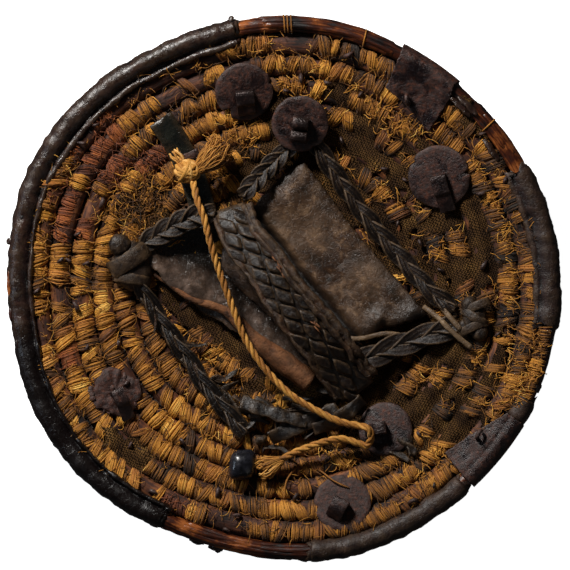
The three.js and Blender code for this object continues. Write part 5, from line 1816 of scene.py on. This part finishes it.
def broken_leather():
    """Broken straps, twisted and curled, between the grip and the knob."""
    runs = [
        ([(-8, -98, 28), (8, -91, 28), (24, -84, 27.5), (36, -79, 28)], 10, 0.3),
        ([(-27, -74, 26), (-13, -79, 29), (2, -84, 29), (16, -87, 28)], 9, -0.4),
        ([(20, -92, 28), (32, -88, 29), (44, -80, 30), (52, -72, 29)], 9, 0.4),
    ]
    parts = []
    for k, (points, width, tilt) in enumerate(runs):
        line = curve_through(points, 1.6)
        parts.append(as_bmesh(swept([{
            "points": [p + UP * 1.3 * rough(p, 7, k) for p in line],
            "tilts": [tilt + 0.9 * rough(p, 10, k + 2) for p in line],
            "widths": [1 + 0.35 * rough(p, 7, k + 5) for p in line],
        }], flat_section(width, 1.6, 0.3))))
    dark = [((-38, -68), -0.9, 30, 5, 4), ((-30, -78), -0.5, 26, 4, 6), ((-18, -72), -0.35, 34, 5, 7),
            ((-24, -92), 0.5, 28, 4, 5), ((-6, -84), 0.3, 30, 5, 8), ((6, -76), -0.5, 26, 4, 7),
            ((14, -98), 0.7, 24, 4, 6), ((28, -76), -0.9, 20, 4, 7), ((-34, -88), 0.1, 20, 3.4, 5),
            ((0, -72), -0.2, 22, 3.4, 5), ((-12, -104), 0.25, 22, 3.6, 5), ((36, -92), 0.9, 20, 4, 6),
            ((-44, -62), -1.2, 20, 3.6, 5), ((22, -66), -0.3, 22, 4, 8)]
    # Ragged straps along the left-hand braid, and the torn leaf beside it.
    dark += [((-92, -6), -1.0, 26, 3.6, 5), ((-84, -12), -1.05, 30, 3.4, 6), ((-78, -28), -0.95, 26, 3.8, 5),
             ((-70, -30), -1.0, 26, 3.2, 6), ((-66, -46), -0.9, 28, 3.8, 5), ((-54, -54), -1.0, 26, 3.4, 6),
             ((-50, -66), -0.8, 26, 4.2, 5), ((-38, -60), 0.5, 12, 4.0, 5), ((-40, -66), 0.2, 14, 4.4, 6)]
    # The scrap that sticks out from under the lower handle roundel.
    dark += [((74, -99), -0.7, 17, 7.5, 3), ((80, -94), -1.2, 18, 6.0, 3), ((70, -106), -0.3, 16, 5.0, 3)]
    brown = [((-88, -8), -0.98, 24, 2.4, 7), ((-74, -30), -1.0, 22, 2.4, 7), ((-60, -46), -0.95, 24, 2.6, 7),
             ((-47, -60), 0.35, 13, 5.4, 6), ((-32, -70), -0.7, 22, 4, 8), ((-14, -78), -0.2, 24, 4, 9), ((-22, -84), 0.2, 20, 3.4, 8),
             ((-2, -90), 0.4, 20, 3.2, 8), ((10, -84), 0.1, 18, 3.0, 9)]
    flat = flat_section(6, 1.2, 0.3)
    parts.append(as_bmesh(swept([shred(*given, i * 1.7) for i, given in enumerate(dark)], flat)))
    for x, y, size in ((-4, -83, 4.6), (-14, -100, 3.6), (16, -80, 3.6)):
        lump = bmesh.new()
        bmesh.ops.create_icosphere(lump, subdivisions=3, radius=size)
        bmesh.ops.transform(lump, matrix=seat(x, y, 6), verts=lump.verts)
        parts.append(pushed(lump, 1.4, 4, x))
    bm = merged(parts)
    pushed(bm, 0.5, 4, 5, 0.25)
    finish_bmesh("broken_leather_curls", bm, DARK_STRAP, ["broken_leather"], join=0.002)
    bm = as_bmesh(swept([shred(*given, 20 + i * 2.3) for i, given in enumerate(brown)], flat))
    pushed(bm, 0.4, 4, 2, 0.2)
    finish_bmesh("broken_leather_brown_shreds", bm, BROWN_STRAP, join=0.002)


broken_leather()
